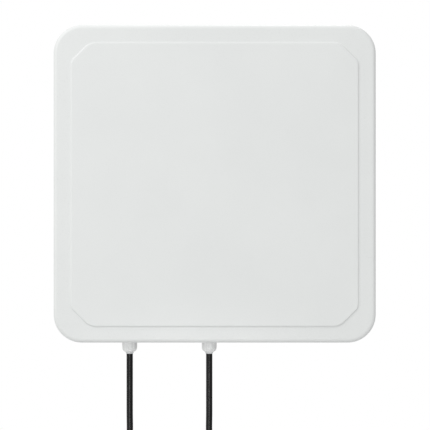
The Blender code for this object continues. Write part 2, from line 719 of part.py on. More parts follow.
def arc_slot(reach, half_width):
    """A slot in (y, z) that follows a lock bolt round the tilt axis, with round ends."""
    top, steps = math.pi / 2, 8
    tilt = (TILT_Y, 0)
    outer = corner_arc(tilt, SLOT_RADIUS + half_width, top - reach, 2 * reach, steps)
    inner = corner_arc(tilt, SLOT_RADIUS - half_width, top + reach, -2 * reach, steps)
    ends = []
    for angle in (top + reach, top - reach):
        centre = (TILT_Y + SLOT_RADIUS * math.cos(angle), SLOT_RADIUS * math.sin(angle))
        start = angle if angle > top else angle + math.pi
        ends.append(corner_arc(centre, half_width, start, math.pi, 6)[1:-1])
    return outer + ends[0] + inner + ends[1]


def make_panel_bracket(finish, parent):
    """The plate on the tray's back, with two ears that turn inside the wall bracket's."""
    back = HOUSING_BACK_Y + GAP
    bm = bmesh.new()
    add_plate(bm, rounded_outline(*PANEL_PLATE, 0.008, 3), back + STEEL, back)
    bracket = add_piece("panel_bracket", bm, finish, parent, (0, TILT_Y, 0), False)
    ears = bmesh.new()
    for side in (-1, 1):
        outline = ear_outline(back + STEEL / 2, 0.034, PANEL_EAR_RADIUS, 60)
        faces = sorted((side * PANEL_EAR_X, side * (PANEL_EAR_X - STEEL)))
        add_prism(ears, outline, *faces)
    add_boolean(bracket, "panel_ears", ears, "UNION")
    cuts = bmesh.new()
    for x, z in fixing_places():
        add_turned(cuts, column(BOLT_HOLE, 0.006), (x, back + STEEL + 0.001, z), -AXIS_Y)
    for side in (-1, 1):
        start = side * (PANEL_EAR_X - STEEL / 2) - 0.004
        add_turned(cuts, column(PIVOT_HOLE, 0.008), (start, TILT_Y, 0), AXIS_X, 18)
        add_turned(cuts, column(BOLT_HOLE, 0.008), (start, TILT_Y, SLOT_RADIUS), AXIS_X)
    add_boolean(bracket, "panel_bracket_holes", cuts, "DIFFERENCE")


def make_bracket_fasteners(finish, tilt):
    """Rivets on the tilt axis, lock bolts and nuts in the arc slots, and the panel's bolts."""
    outside = WALL_EAR_X + GAP
    inside = PANEL_EAR_X - STEEL - GAP
    for name, side in (("left", -1), ("right", 1)):
        out = side * AXIS_X
        bm = bmesh.new()
        profile = [(0, outside + 0.0035), (0.0050, outside + 0.0030)]
        profile += [(0.0068, outside + 0.0014), (0.0068, outside)]
        profile += [(PIVOT_RADIUS, outside), (PIVOT_RADIUS, inside)]
        profile += [(0.0062, inside), (0.0050, inside - 0.0030), (0, inside - 0.0030)]
        add_turned(bm, profile, (0, TILT_Y, 0), out, 18)
        add_piece(f"pivot_rivet_{name}", bm, finish, None, (side * outside, TILT_Y, 0))
        bm = bmesh.new()
        seat, top, end = outside + 0.0014, outside + 0.0058, inside - 0.0065
        profile = [(0, top), (0.0048, top, HEX), (BOLT_HEX, seat, HEX), (0.0062, seat)]
        profile += [(0.0062, outside), (BOLT_RADIUS, outside), (BOLT_RADIUS, end), (0, end)]
        add_turned(bm, profile, (0, TILT_Y, SLOT_RADIUS), out)
        add_piece(f"lock_bolt_{name}", bm, finish, tilt, (side * outside, TILT_Y, SLOT_RADIUS))
        bm = bmesh.new()
        far = inside - 0.0050
        profile = [(BOLT_HOLE, inside), (BOLT_HEX, inside, HEX), (BOLT_HEX, far, HEX), (BOLT_HOLE, far)]
        add_turned(bm, profile, (0, TILT_Y, SLOT_RADIUS), out)
        add_piece(f"lock_nut_{name}", bm, finish, tilt, (side * inside, TILT_Y, SLOT_RADIUS))
    face = HOUSING_BACK_Y + STEEL + 2 * GAP
    for number, (x, z) in enumerate(fixing_places(), 1):
        bm = bmesh.new()
        profile = [(0, 0.0040), (BOLT_HEX, 0.0040, HEX), (BOLT_HEX, 0, HEX), (BOLT_RADIUS, 0)]
        profile += [(BOLT_RADIUS, -0.0145), (0, -0.0145)]
        add_turned(bm, profile, (x, face, z), AXIS_Y)
        add_piece(f"bracket_bolt_{number}", bm, finish, tilt, (x, face, z))


def main():
    clear_scene()
    cover = material("cover_plastic", (0.78, 0.79, 0.78), 0.42)
    shell = material("housing_plastic", (0.62, 0.63, 0.63), 0.50)
    nylon = material("gland_nylon", (0.88, 0.88, 0.88), 0.30)
    rubber = material("grey_rubber", (0.73, 0.74, 0.75), 0.60)
    foam = material("gasket_rubber", (0.03, 0.03, 0.03), 0.80)
    sheath = material("lead_sheath", (0.006, 0.006, 0.006), 0.35)
    strap = material("tie_nylon", (0.02, 0.02, 0.02), 0.40)
    plug_body = material("plug_plastic", (0.015, 0.015, 0.015), 0.50)
    aluminium = material("antenna_aluminium", (0.80, 0.80, 0.81), 0.35, 1.0)
    spacer = material("spacer_nylon", (0.80, 0.79, 0.74), 0.50)
    circuit = material("circuit_board", (0.02, 0.16, 0.06), 0.45)
    tin = material("shield_tin", (0.72, 0.72, 0.73), 0.30, 1.0)
    block = material("terminal_plastic", (0.03, 0.22, 0.10), 0.50)
    painted = material("bracket_paint", (0.37, 0.38, 0.39), 0.50)
    zinc = material("zinc_steel", (0.66, 0.66, 0.67), 0.35, 1.0)

    tilt = pivot("tilt_axis", (0, TILT_Y, 0))
    make_wall_bracket(painted)
    make_panel_bracket(painted, tilt)
    make_bracket_fasteners(zinc, tilt)
    make_front_radome(cover, tilt)
    make_gasket(foam, tilt)
    make_rear_housing(shell, tilt)
    make_cover_screws(zinc, tilt)
    make_vent_plug(spacer, tilt)
    make_ground_plane(aluminium, tilt)
    make_patches(aluminium, spacer, tilt)
    make_feed_board(circuit, tilt)
    make_reader(circuit, tin, block, tilt)
    make_antenna_jumper(sheath, tilt)
    for name, x, side in (("power", POWER_X, 1), ("data", DATA_X, -1)):
        make_gland(name, x, (nylon, rubber), tilt)
        make_inner_lead(name, x, sheath, tilt)
        swing = pivot(f"{name}_lead_swing", (x, GLAND_Y, MOUTH_Z))
        make_lead(name, x, side, (sheath, strap, plug_body), swing)


main()
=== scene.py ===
"""Looks for the security gate panel: fine shells, fasteners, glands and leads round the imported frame.

Metres, in the frame's own axes: +Z up, +Y into the wall, the front faces -Y. Small profiles and outlines are
written in millimetres, and mm(), near() or MM turns them into metres.
"""

import json
import math

import bmesh
import bpy
from mathutils import Matrix, Vector


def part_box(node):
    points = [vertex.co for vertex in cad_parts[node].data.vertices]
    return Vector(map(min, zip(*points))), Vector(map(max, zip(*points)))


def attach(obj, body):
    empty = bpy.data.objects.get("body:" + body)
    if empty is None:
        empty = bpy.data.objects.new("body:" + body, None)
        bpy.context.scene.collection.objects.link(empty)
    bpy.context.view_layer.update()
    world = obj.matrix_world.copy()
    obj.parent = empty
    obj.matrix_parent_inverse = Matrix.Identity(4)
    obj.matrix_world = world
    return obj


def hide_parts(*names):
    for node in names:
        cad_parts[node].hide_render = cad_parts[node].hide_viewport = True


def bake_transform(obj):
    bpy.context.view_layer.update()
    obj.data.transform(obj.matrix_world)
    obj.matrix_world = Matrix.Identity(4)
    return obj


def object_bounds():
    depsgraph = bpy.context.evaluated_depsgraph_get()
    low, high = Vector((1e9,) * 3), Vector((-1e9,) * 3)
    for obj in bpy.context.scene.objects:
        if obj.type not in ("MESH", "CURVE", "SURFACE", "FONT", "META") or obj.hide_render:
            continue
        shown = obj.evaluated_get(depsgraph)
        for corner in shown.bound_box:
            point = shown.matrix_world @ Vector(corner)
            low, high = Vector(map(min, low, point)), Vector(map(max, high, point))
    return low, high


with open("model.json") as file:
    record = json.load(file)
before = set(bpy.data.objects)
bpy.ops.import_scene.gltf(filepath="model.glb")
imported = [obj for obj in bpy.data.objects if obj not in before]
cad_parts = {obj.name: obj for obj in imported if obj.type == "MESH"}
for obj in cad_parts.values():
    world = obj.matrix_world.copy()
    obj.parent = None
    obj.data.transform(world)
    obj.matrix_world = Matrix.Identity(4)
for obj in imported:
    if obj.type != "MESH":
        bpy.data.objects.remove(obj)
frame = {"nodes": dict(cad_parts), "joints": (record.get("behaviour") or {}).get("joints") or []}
cad_low, cad_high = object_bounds()


def face_of(node):
    """The middle and the size of a CAD node seen from the front, each as (x, z)."""
    low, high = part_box(node)
    return [(low[k] + high[k]) / 2 for k in (0, 2)], [high[k] - low[k] for k in (0, 2)]


# Places read from the frame.
RADOME_LOW, RADOME_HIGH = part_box("front_radome")
HOUSING_LOW, HOUSING_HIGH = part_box("rear_housing")
BOARD_LOW, BOARD_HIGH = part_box("reader_board")
PANEL_WIDTH = RADOME_HIGH[0] - RADOME_LOW[0]
PANEL_HEIGHT = RADOME_HIGH[2] - RADOME_LOW[2]
FIELD_Y = RADOME_LOW[1]
COVER_BACK_Y = RADOME_HIGH[1]
HOUSING_BACK_Y = HOUSING_HIGH[1]
FLANGE_FRONT_Y = HOUSING_LOW[1]
BOARD_FACE_Y = BOARD_LOW[1]
WALL_PLATE = face_of("wall_bracket")[1]
PANEL_PLATE = face_of("panel_bracket")[1]
JOINT_AT = {joint["name"]: Vector(joint["pos_m"]) for joint in frame["joints"]}
TILT_Y = JOINT_AT["tilt"].y
LEADS = {"power": 1, "data": -1}

AXIS_X = Vector((1, 0, 0))
AXIS_Y = Vector((0, 1, 0))
AXIS_Z = Vector((0, 0, 1))
MM = 0.001
GAP = 0.0003

# The camera stands square on to the panel's front, a little below its middle.
CAMERA_DISTANCE = 1.5
CAMERA_X = 0.0004
CAMERA_Z = -0.0431
VIEW_WIDTH = 0.5915
SENSOR = 36.0

# Shells: depths, margins of the raised field, and insets from the outline, as in the CAD.
CORNER_RADIUS = 0.039
CORNER_STEPS = 20
RIM_Y = FIELD_Y + 0.002
COVER_INNER_Y = FIELD_Y + 0.005
EDGE_FILLET = 0.006
FIELD_SIDE = 0.0232
FIELD_TOP = 0.0238
FIELD_BOTTOM = 0.0215
FIELD_CUT = 0.0265
FIELD_SLOPE = 0.0028
FIELD_BENDS = (0.014, 0.024)
COVER_WALL = 0.003
RIB_OUTSIDE = 0.0145
RIB_INSIDE = 0.0165
RIB_END_Y = FLANGE_FRONT_Y - 0.0036
FLANGE_BACK_Y = FLANGE_FRONT_Y + 0.003
FLANGE_OUTSIDE = 0.0035
FLANGE_INSIDE = 0.0195
TRAY_OUTSIDE = 0.01
TRAY_INSIDE = 0.0125
HOUSING_FLOOR = 0.0025
SCREW_INSET = 0.0067
VENT_PLACE = (0.15, -0.15)
COLUMNS = (0.178, 0.172)
PLANE_BACK_Y = -0.123
BOARD_SCREW_INSET = 0.008
FIXING_PITCH = 0.1
WALL_BOTTOM_Z = -PANEL_HEIGHT / 2 + TRAY_OUTSIDE
WALL_TOP_Z = -PANEL_HEIGHT / 2 + TRAY_INSIDE

# Brackets.
STEEL = 0.003
WALL_EAR_X = 0.06
PANEL_EAR_X = 0.0565
EAR_RADIUS = 0.03
PANEL_EAR_RADIUS = 0.028
SLOT_RADIUS = 0.02
TILT_LIMIT = math.radians(20)
BOLT_HOLE = 0.0033
PIVOT_HOLE = 0.0043
PLATE_CORNER = 0.008
PRESSED_EDGE = 0.00035

# Hexagons, half of their width across flats, in millimetres.
GLAND_HEX = 10.4
BOLT_HEX = 5

# Leads: the same route as in the CAD, with the turns of each coil worked out.
LEAD_DIAMETER = 0.009
LEAD_RADIUS = LEAD_DIAMETER / 2
COIL_RADIUS = 0.0449
BUNDLE_RADIUS = 0.0075
COIL_Z = -0.4468
COIL_SHIFT = 0.004
STRAND_TURN = math.radians(31.5)
JOIN_ANGLE = math.radians(135)
COIL_TURNS = 4
COIL_STEPS = 28
TAIL_END_Z = -0.5356
SWING_ROOM = 0.0012

# Light: each lamp's place, target, size, power and spread; the sky's brightest side, tint and strengths.
LAMPS = {
    "key": ((-0.75, -0.9, 0.75), (-0.1, -0.1, 0.05), 0.7, 2.2, 180),
    "top": ((0.1, 0.45, 1.6), (0, -0.12, 0.1), 0.8, 4, 180),
    "card": ((-0.08, -1.0, -0.48), (-0.05, -0.12, -0.44), 0.3, 0.08, 27),
    "back": ((0.5, 2.2, 1.0), (0, 0, -0.1), 0.9, 18, 180),
}
SKY_SIDE = Vector((-0.4, -0.62, 0.62)).normalized()
SKY_TINT = (0.993, 1.0, 0.996, 1)
SKY_DARK = 0.2
SKY_BRIGHT = 1.09
FLOOR_RADIUS = 1.25
FLOOR_DROP = 0.06


def linked_object(name, data):
    made = bpy.data.objects.new(name, data)
    bpy.context.scene.collection.objects.link(made)
    return made


def make_camera():
    data = bpy.data.cameras.new("camera")
    data.sensor_width = SENSOR
    data.lens = SENSOR * CAMERA_DISTANCE / VIEW_WIDTH
    camera = linked_object("camera", data)
    camera.location = (CAMERA_X, FIELD_Y - CAMERA_DISTANCE, CAMERA_Z)
    camera.rotation_euler = (math.pi / 2, 0, 0)
    bpy.context.scene.camera = camera


# Materials. Every pattern is laid out in the object's own metres.
def add_node(tree, kind, inputs, **settings):
    """A shader node. Each input has a name or a number, and takes a value or another node's output."""
    node = tree.nodes.new(f"ShaderNode{kind}")
    for key, value in settings.items():
        setattr(node, key, value)
    for key, value in inputs.items():
        if isinstance(value, bpy.types.NodeSocket):
            tree.links.new(value, node.inputs[key])
        else:
            node.inputs[key].default_value = value
    return node


def from_to(low, high, to_low, to_high):
    """The inputs of a Map Range node."""
    return {"From Min": low, "From Max": high, "To Min": to_low, "To Max": to_high}


def dimmed(colour, share):
    return tuple(share * c for c in colour)


class Surface:
    """A Principled material whose pattern nodes are added one call at a time."""

    def __init__(self, name, metallic=0.0, specular=0.5):
        self.material = bpy.data.materials.new(name)
        self.material.use_nodes = True
        self.tree = self.material.node_tree
        self.shader = self.tree.nodes["Principled BSDF"]
        self.shader.inputs["Metallic"].default_value = metallic
        self.shader.inputs["Specular IOR Level"].default_value = specular
        self.place = self.add("TexCoord", "Object", {})
        self.bump = None

    def add(self, kind, output, inputs, **settings):
        return add_node(self.tree, kind, inputs, **settings).outputs[output]

    def stretched(self, scale):
        """The object's coordinates, stretched along its axes."""
        return self.add("Mapping", "Vector", {"Vector": self.place, "Scale": scale})

    def noise(self, scale, detail=3.0, rough=0.5, place=None, warp=0.0):
        inputs = {"Scale": scale, "Detail": detail, "Roughness": rough, "Distortion": warp}
        return self.add("TexNoise", "Fac", {"Vector": place or self.place, **inputs})

    def patches(self, noise, *ends):
        """A noise, given by its values, spread over a range."""
        return self.remap(self.noise(*noise), *ends)

    def cells(self, scale, place=None):
        return self.add("TexVoronoi", "Distance", {"Vector": place or self.place, "Scale": scale})

    def remap(self, value, *ends):
        return self.add("MapRange", "Result", {"Value": value, **from_to(*ends)})

    def math(self, operation, one, two):
        return self.add("Math", "Value", {0: one, 1: two}, operation=operation)

    def mix(self, share, one, two):
        """Mixes two colours; each is an (r, g, b) or a colour output."""
        one, two = [(*value, 1) if isinstance(value, tuple) else value for value in (one, two)]
        return self.add("Mix", 2, {"Factor": share, 6: one, 7: two}, data_type="RGBA")

    def drive(self, socket, output):
        """Lets a node's output set one of the shader's sockets."""
        self.tree.links.new(output, self.shader.inputs[socket])

    def colour(self, output):
        self.drive("Base Color", output)

    def roughness(self, output):
        self.drive("Roughness", output)

    def relief(self, height, depth, strength=1.0):
        """Adds a layer of bump, whose height runs from 0 to 1 over a depth in metres."""
        inputs = {"Strength": strength, "Distance": depth, "Height": height}
        if self.bump:
            inputs["Normal"] = self.bump
        self.bump = self.add("Bump", "Normal", inputs)
        self.drive("Normal", self.bump)


def moulded_plastic(name, light, dark, rough, grain, specular=0.5):
    """Injection-moulded plastic: spark-eroded grain, slow tone drift, faint flow marks and dust."""
    made = Surface(name, specular=specular)
    drift = made.patches((9, 3), 0.35, 0.65, 0, 1)
    flecks = made.patches((700, 2), 0.6, 0.74, 0, 0.35)
    made.colour(made.mix(flecks, made.mix(drift, light, dark), dimmed(dark, 0.86)))
    scuffs = made.noise(38, 5, 0.65, made.stretched((1, 1, 0.35)), 0.6)
    made.roughness(made.remap(scuffs, 0.35, 0.7, rough - 0.05, rough + 0.08))
    made.relief(made.noise(5, 1), 0.00025, 0.5)
    made.relief(made.noise(1500, 2, 0.6), 0.00003, grain)
    made.relief(made.cells(2600), 0.00002, grain)
    return made.material


def dull_rubber(name, light, dark, rough):
    """Moulded rubber: matt bloom in patches, and a fine grain."""
    made = Surface(name, specular=0.35)
    bloom = made.patches((60, 4, 0.6), 0.4, 0.68, 0, 1)
    made.colour(made.mix(bloom, dark, light))
    made.roughness(made.patches((160, 4), 0.35, 0.65, rough - 0.07, rough + 0.1))
    made.relief(made.noise(500, 3, 0.6), 0.00004, 0.45)
    made.relief(made.noise(3000, 2), 0.00001, 0.5)
    return made.material


def drawn_sheath(name, light, dark, rough):
    """A cord's extruded skin: smooth, with faint marks drawn along it, dull patches and a little dust."""
    made = Surface(name, specular=0.24)
    drawn = made.noise(900, 3, 0.6, made.stretched((1, 1, 0.05)))
    bloom = made.patches((60, 4, 0.6), 0.4, 0.68, 0, 1)
    dust = made.patches((1300, 2), 0.66, 0.76, 0, 0.1)
    made.colour(made.mix(dust, made.mix(bloom, dark, light), (0.06, 0.058, 0.055)))
    made.roughness(made.patches((160, 4), 0.35, 0.65, rough - 0.04, rough + 0.08))
    made.relief(drawn, 0.00002, 0.3)
    made.relief(made.noise(140, 2), 0.00006, 0.25)
    return made.material


def foam_rubber(name, light, dark):
    """Foamed rubber: round pores, duller than the skin between them, and painted shade that darkens the
    colour inside each pore.
    """
    made = Surface(name, specular=0.24)
    pore_depth_and_shade = made.remap(made.cells(1400), 0.05, 0.45, 0, 1)
    # Painted shade: the colour darkens towards each pore's middle, where the bump sinks the hollows.
    made.colour(made.mix(pore_depth_and_shade, dark, light))
    made.roughness(made.remap(pore_depth_and_shade, 0, 1, 0.95, 0.78))
    made.relief(pore_depth_and_shade, 0.0002, 0.8)
    return made.material


def powder_coat(name, light, dark):
    """Powder-coated steel: orange peel, specks, and bare steel showing at rubbed edges."""
    made = Surface(name)
    drift = made.patches((25, 4), 0.35, 0.65, 0, 1)
    specks = made.patches((1100, 2), 0.62, 0.7, 0, 0.5)
    coat = made.mix(specks, made.mix(drift, light, dark), dimmed(dark, 0.6))
    broken = made.patches((220, 5, 0.7), 0.45, 0.6, 0, 1)
    edges = made.remap(made.add("NewGeometry", "Pointiness", {}), 0.53, 0.6, 0, 1)
    wear = made.math("MULTIPLY", edges, broken)
    made.colour(made.mix(wear, coat, (0.42, 0.42, 0.43)))
    made.drive("Metallic", made.math("MULTIPLY", wear, 0.9))
    made.roughness(made.patches((300, 4), 0.35, 0.65, 0.4, 0.55))
    made.relief(made.noise(420, 2, 0.4), 0.00009, 0.55)
    made.relief(made.noise(2400, 2), 0.00002, 0.35)
    return made.material


def plated_steel(name, light, dark):
    """Bright zinc: spangled tone, turning marks and a few dull patches."""
    made = Surface(name, metallic=1.0)
    spangle = made.cells(700)
    stain = made.patches((90, 5, 0.65), 0.42, 0.66, 0, 1)
    made.colour(made.mix(stain, made.mix(spangle, light, dark), dimmed(dark, 0.72)))
    made.roughness(made.remap(stain, 0, 1, 0.24, 0.48))
    made.relief(made.noise(1800, 3, 0.6), 0.00002, 0.5)
    made.relief(made.noise(260, 3), 0.00005, 0.3)
    return made.material


def rolled_sheet(name, light, dark, across):
    """Rolled metal sheet: long fine marks along one axis, and faint finger marks."""
    made = Surface(name, metallic=1.0)
    rolled = made.noise(260, 5, 0.7, made.stretched(across))
    prints = made.patches((45, 4, 0.6, None, 1.2), 0.48, 0.66, 0, 1)
    made.colour(made.mix(rolled, light, dark))
    brushed = made.remap(rolled, 0.3, 0.7, 0.22, 0.36)
    made.roughness(made.math("ADD", brushed, made.math("MULTIPLY", prints, 0.14)))
    made.relief(rolled, 0.00002, 0.6)
    return made.material


def printed_board(name, light, dark, copper):
    """Green solder mask over copper tracks, with a glass weave just showing."""
    made = Surface(name)
    flat = made.add("Mapping", "Vector", {"Vector": made.place, "Rotation": (math.pi / 2, 0, 0)})
    bricks = {"Vector": flat, "Scale": 210, "Mortar Size": 0.09, "Brick Width": 4.6, "Row Height": 0.5}
    lines = made.add("TexBrick", "Fac", bricks, offset=0.37)
    weave = made.cells(1500, made.stretched((1, 1, 1.8)))
    patchy = made.patches((55, 2), 0.46, 0.52, 0, 1)
    tracks = made.math("MULTIPLY", lines, patchy)
    made.colour(made.mix(tracks, made.mix(weave, dark, light), copper))
    made.roughness(made.patches((120, 3), 0.35, 0.65, 0.28, 0.42))
    made.relief(tracks, 0.00004, 0.6)
    made.relief(weave, 0.00001, 0.4)
    return made.material


# Each slot's finish: what makes it, its light and dark tones, and whatever else that takes.
FINISHES = {
    "cover_plastic": (moulded_plastic, (0.79, 0.801, 0.795), (0.774, 0.785, 0.78), 0.38, 0.28),
    "housing_plastic": (moulded_plastic, (0.64, 0.652, 0.65), (0.6, 0.612, 0.612), 0.52, 0.55),
    "gland_nylon": (moulded_plastic, (0.9, 0.902, 0.9), (0.86, 0.864, 0.864), 0.22, 0.25),
    "grey_rubber": (dull_rubber, (0.78, 0.79, 0.79), (0.68, 0.69, 0.7), 0.5),
    "gasket_rubber": (foam_rubber, (0.045, 0.045, 0.047), (0.01, 0.01, 0.011)),
    "lead_sheath": (drawn_sheath, (0.006, 0.006, 0.006), (0.003, 0.003, 0.003), 0.2),
    "tie_nylon": (moulded_plastic, (0.03, 0.03, 0.031), (0.018, 0.018, 0.019), 0.38, 0.35),
    "plug_plastic": (moulded_plastic, (0.024, 0.024, 0.025), (0.014, 0.014, 0.015), 0.46, 0.6),
    "antenna_aluminium": (rolled_sheet, (0.82, 0.82, 0.83), (0.66, 0.66, 0.68), (1, 1, 0.02)),
    "spacer_nylon": (moulded_plastic, (0.76, 0.745, 0.69), (0.7, 0.685, 0.625), 0.48, 0.35),
    "circuit_board": (printed_board, (0.016, 0.15, 0.058), (0.01, 0.12, 0.045), (0.022, 0.19, 0.07)),
    "shield_tin": (rolled_sheet, (0.74, 0.74, 0.75), (0.58, 0.58, 0.6), (0.02, 1, 1)),
    "terminal_plastic": (moulded_plastic, (0.04, 0.24, 0.11), (0.026, 0.19, 0.084), 0.44, 0.45),
    "bracket_paint": (powder_coat, (0.39, 0.4, 0.408), (0.35, 0.36, 0.368)),
    "zinc_steel": (plated_steel, (0.72, 0.72, 0.73), (0.5, 0.5, 0.53)),
}
MATERIALS = {slot: finish(slot, *tones) for slot, (finish, *tones) in FINISHES.items()}


# Meshes.
def new_object(name, bm):
    """An object from a bmesh in frame places, with its faces turned outwards."""
    bmesh.ops.recalc_face_normals(bm, faces=bm.faces)
    mesh = bpy.data.meshes.new(name)
    bm.to_mesh(mesh)
    bm.free()
    return linked_object(name, mesh)


def shape(add, *values):
    """A new bmesh with one shape in it."""
    bm = bmesh.new()
    add(bm, *values)
    return bm


def discard(made):
    mesh = made.data
    bpy.data.objects.remove(made)
    bpy.data.meshes.remove(mesh)


def reopened(made):
    """An object's mesh as a new bmesh, in place of the object."""
    bm = bmesh.new()
    bm.from_mesh(made.data)
    discard(made)
    return bm


def settle(made):
    """Makes an object's modifiers real."""
    graph = bpy.context.evaluated_depsgraph_get()
    mesh = bpy.data.meshes.new_from_object(made.evaluated_get(graph), depsgraph=graph)
    made.modifiers.clear()
    old, made.data = made.data, mesh
    bpy.data.meshes.remove(old)
    mesh.name = made.name


def carve(made, bm, operation="DIFFERENCE"):
    """Joins or cuts an object with the shapes in a bmesh."""
    tool = new_object("tool", bm)
    step = made.modifiers.new("carve", "BOOLEAN")
    step.operation = operation
    step.solver = "EXACT"
    step.object = tool
    settle(made)
    discard(tool)


def soften(made, width, segments=2, angle=40):
    """Rounds an object's sharp edges."""
    step = made.modifiers.new("soften", "BEVEL")
    step.width = width
    step.segments = segments
    step.limit_method = "ANGLE"
    step.angle_limit = math.radians(angle)
    step.miter_outer = "MITER_ARC"
    settle(made)


def adopt(made, slot, *replaced, sharp=42, body="panel"):
    """Shades a finished object, gives it its material, and puts it on its body."""
    mesh = made.data
    mesh.shade_smooth()
    mesh.set_sharp_from_angle(angle=math.radians(sharp))
    mesh.materials.clear()
    mesh.materials.append(MATERIALS[slot])
    weighted = made.modifiers.new("weighted", "WEIGHTED_NORMAL")
    weighted.keep_sharp = True
    if body:
        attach(made, body)
    if replaced:
        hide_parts(*replaced)
    return made


def piece(name, bm, slot, *replaced, sharp=42, body="panel"):
    return adopt(new_object(name, bm), slot, *replaced, sharp=sharp, body=body)


def turned_piece(name, profile, place, axis, slot, *replaced, segments=48, sharp=42, body="panel"):
    bm = shape(add_turned, profile, place, axis, segments)
    return piece(name, bm, slot, *replaced, sharp=sharp, body=body)


# Shapes, each added to a bmesh.
def mm(rows, base=0.0):
    """Rows of (radius, height) in millimetres, as metres from a base height. A radius may be a function."""

    def metres(radius):
        return (lambda angle: MM * radius(angle)) if callable(radius) else MM * radius

    return [(metres(radius), base + MM * height) for radius, height in rows]


def near(place, *offset):
    """A place moved by millimetres."""
    return tuple(at + MM * step for at, step in zip(place, offset))


def bridge(bm, one, two):
    """Faces between two rings of vertices, either of which may be a single one."""
    count = max(len(one), len(two))
    for k in range(count):
        following = (k + 1) % count
        if len(one) == 1:
            bm.faces.new((one[0], two[following], two[k]))
        elif len(two) == 1:
            bm.faces.new((one[k], one[following], two[0]))
        else:
            bm.faces.new((one[k], one[following], two[following], two[k]))


def add_loft(bm, loops, closed=False):
    """Skins a row of point loops; the ends are capped, or joined to each other if closed."""
    rings = [[bm.verts.new(p) for p in loop] for loop in loops]
    pairs = list(zip(rings, rings[1:]))
    if closed:
        pairs.append((rings[-1], rings[0]))
    else:
        bm.faces.new(rings[0])
        bm.faces.new(reversed(rings[-1]))
    for one, two in pairs:
        bridge(bm, one, two)


def hexed(apothem, height, limit=1.0):
    """A hexagonal ring, whose corners are turned down to limit times their own radius."""
    corner = apothem / math.cos(math.pi / 6)

    def radius(angle):
        flat = apothem / math.cos(angle % (math.pi / 3) - math.pi / 6)
        return min(flat, corner * limit)

    return radius, height


def hex_rows(apothem, *rows):
    return [hexed(apothem, *row) for row in rows]


def fluted(radius, height, count, depth):
    """A ring with shallow grip flutes."""
    return lambda angle: radius - depth * (0.5 + 0.5 * math.cos(count * angle)) ** 3, height


def add_turned(bm, profile, place, axis=AXIS_Z, segments=32):
    """Turns (radius, height) entries about an axis. A radius may be a function of the angle.
    A profile that starts and ends on the axis is a solid; any other is closed into a ring."""
    turn = AXIS_Z.rotation_difference(axis)
    rings = []
    for radius, height in profile:
        ring = []
        for step in range(1 if radius == 0 else segments):
            angle = 2 * math.pi * step / segments
            reach = radius(angle) if callable(radius) else radius
            point = Vector((reach * math.cos(angle), reach * math.sin(angle), height))
            ring.append(bm.verts.new(Vector(place) + turn @ point))
        rings.append(ring)
    pairs = list(zip(rings, rings[1:]))
    if profile[0][0] != 0:
        pairs.append((rings[-1], rings[0]))
    for one, two in pairs:
        bridge(bm, one, two)


def add_pins(bm, places, y, profile, segments, axis=-AXIS_Y):
    """The same turned shape at several (x, z) places, all at one depth."""
    for x, z in places:
        add_turned(bm, profile, (x, y, z), axis, segments)


def add_box(bm, low, high):
    size = Vector(high) - Vector(low)
    middle = (Vector(high) + Vector(low)) / 2
    place = Matrix.Translation(middle) @ Matrix.Diagonal((*size, 1))
    return bmesh.ops.create_cube(bm, size=1, matrix=place)["verts"]


def soft_box(name, low, high, width):
    """A box with rounded edges, as a new object."""
    made = new_object(name, shape(add_box, low, high))
    soften(made, width, 3)
    return made


def add_prism(bm, outline, low, high):
    """A flat (y, z) outline given thickness along X, from low to high."""
    add_loft(bm, [[Vector((x, y, z)) for y, z in outline] for x in (low, high)])


def flat_loop(outline, y):
    """An (x, z) outline at a depth."""
    return [Vector((x, y, z)) for x, z in outline]


def add_plate(bm, outline, back, front):
    """A flat (x, z) outline given thickness along Y, from back to front."""
    add_loft(bm, [flat_loop(outline, y) for y in (back, front)])


def corner_arc(centre, radius, start, sweep, steps):
    """Points along an arc in a plane, both ends included."""
    angles = [start + sweep * k / steps for k in range(steps + 1)]
    return [(centre[0] + radius * math.cos(a), centre[1] + radius * math.sin(a)) for a in angles]


def rounded_outline(width, height, radius, steps=12):
    """A rectangle with round corners, anticlockwise from its right side's upper corner."""
    outline = []
    for quarter, (side, level) in enumerate(((1, 1), (-1, 1), (-1, -1), (1, -1))):
        centre = (side * (width / 2 - radius), level * (height / 2 - radius))
        outline += corner_arc(centre, radius, quarter * math.pi / 2, math.pi / 2, steps)
    return outline


def shifted(outline, x, z):
    return [(x + a, z + b) for a, b in outline]


def block_loops(middle, size, radius, levels, steps=12):
    """Loops of a round-cornered block, at (inset, y) levels."""
    loops = []
    for inset, y in levels:
        outline = rounded_outline(size[0] - 2 * inset, size[1] - 2 * inset, radius - inset, steps)
        loops.append(flat_loop(shifted(outline, *middle), y))
    return loops


def panel_loops(levels):
    """The panel's outline at (inset, y) levels."""
    return block_loops((0, 0), (PANEL_WIDTH, PANEL_HEIGHT), CORNER_RADIUS, levels, CORNER_STEPS)


def round_edge(radius, inset, y, into, steps):
    """The (inset, y) levels of a quarter round, from a face at y to a side; into is its way along Y."""
    angles = [math.pi / 2 * k / steps for k in range(steps + 1)]
    return [(inset + radius * (1 - math.sin(a)), y + into * radius * (1 - math.cos(a))) for a in angles]


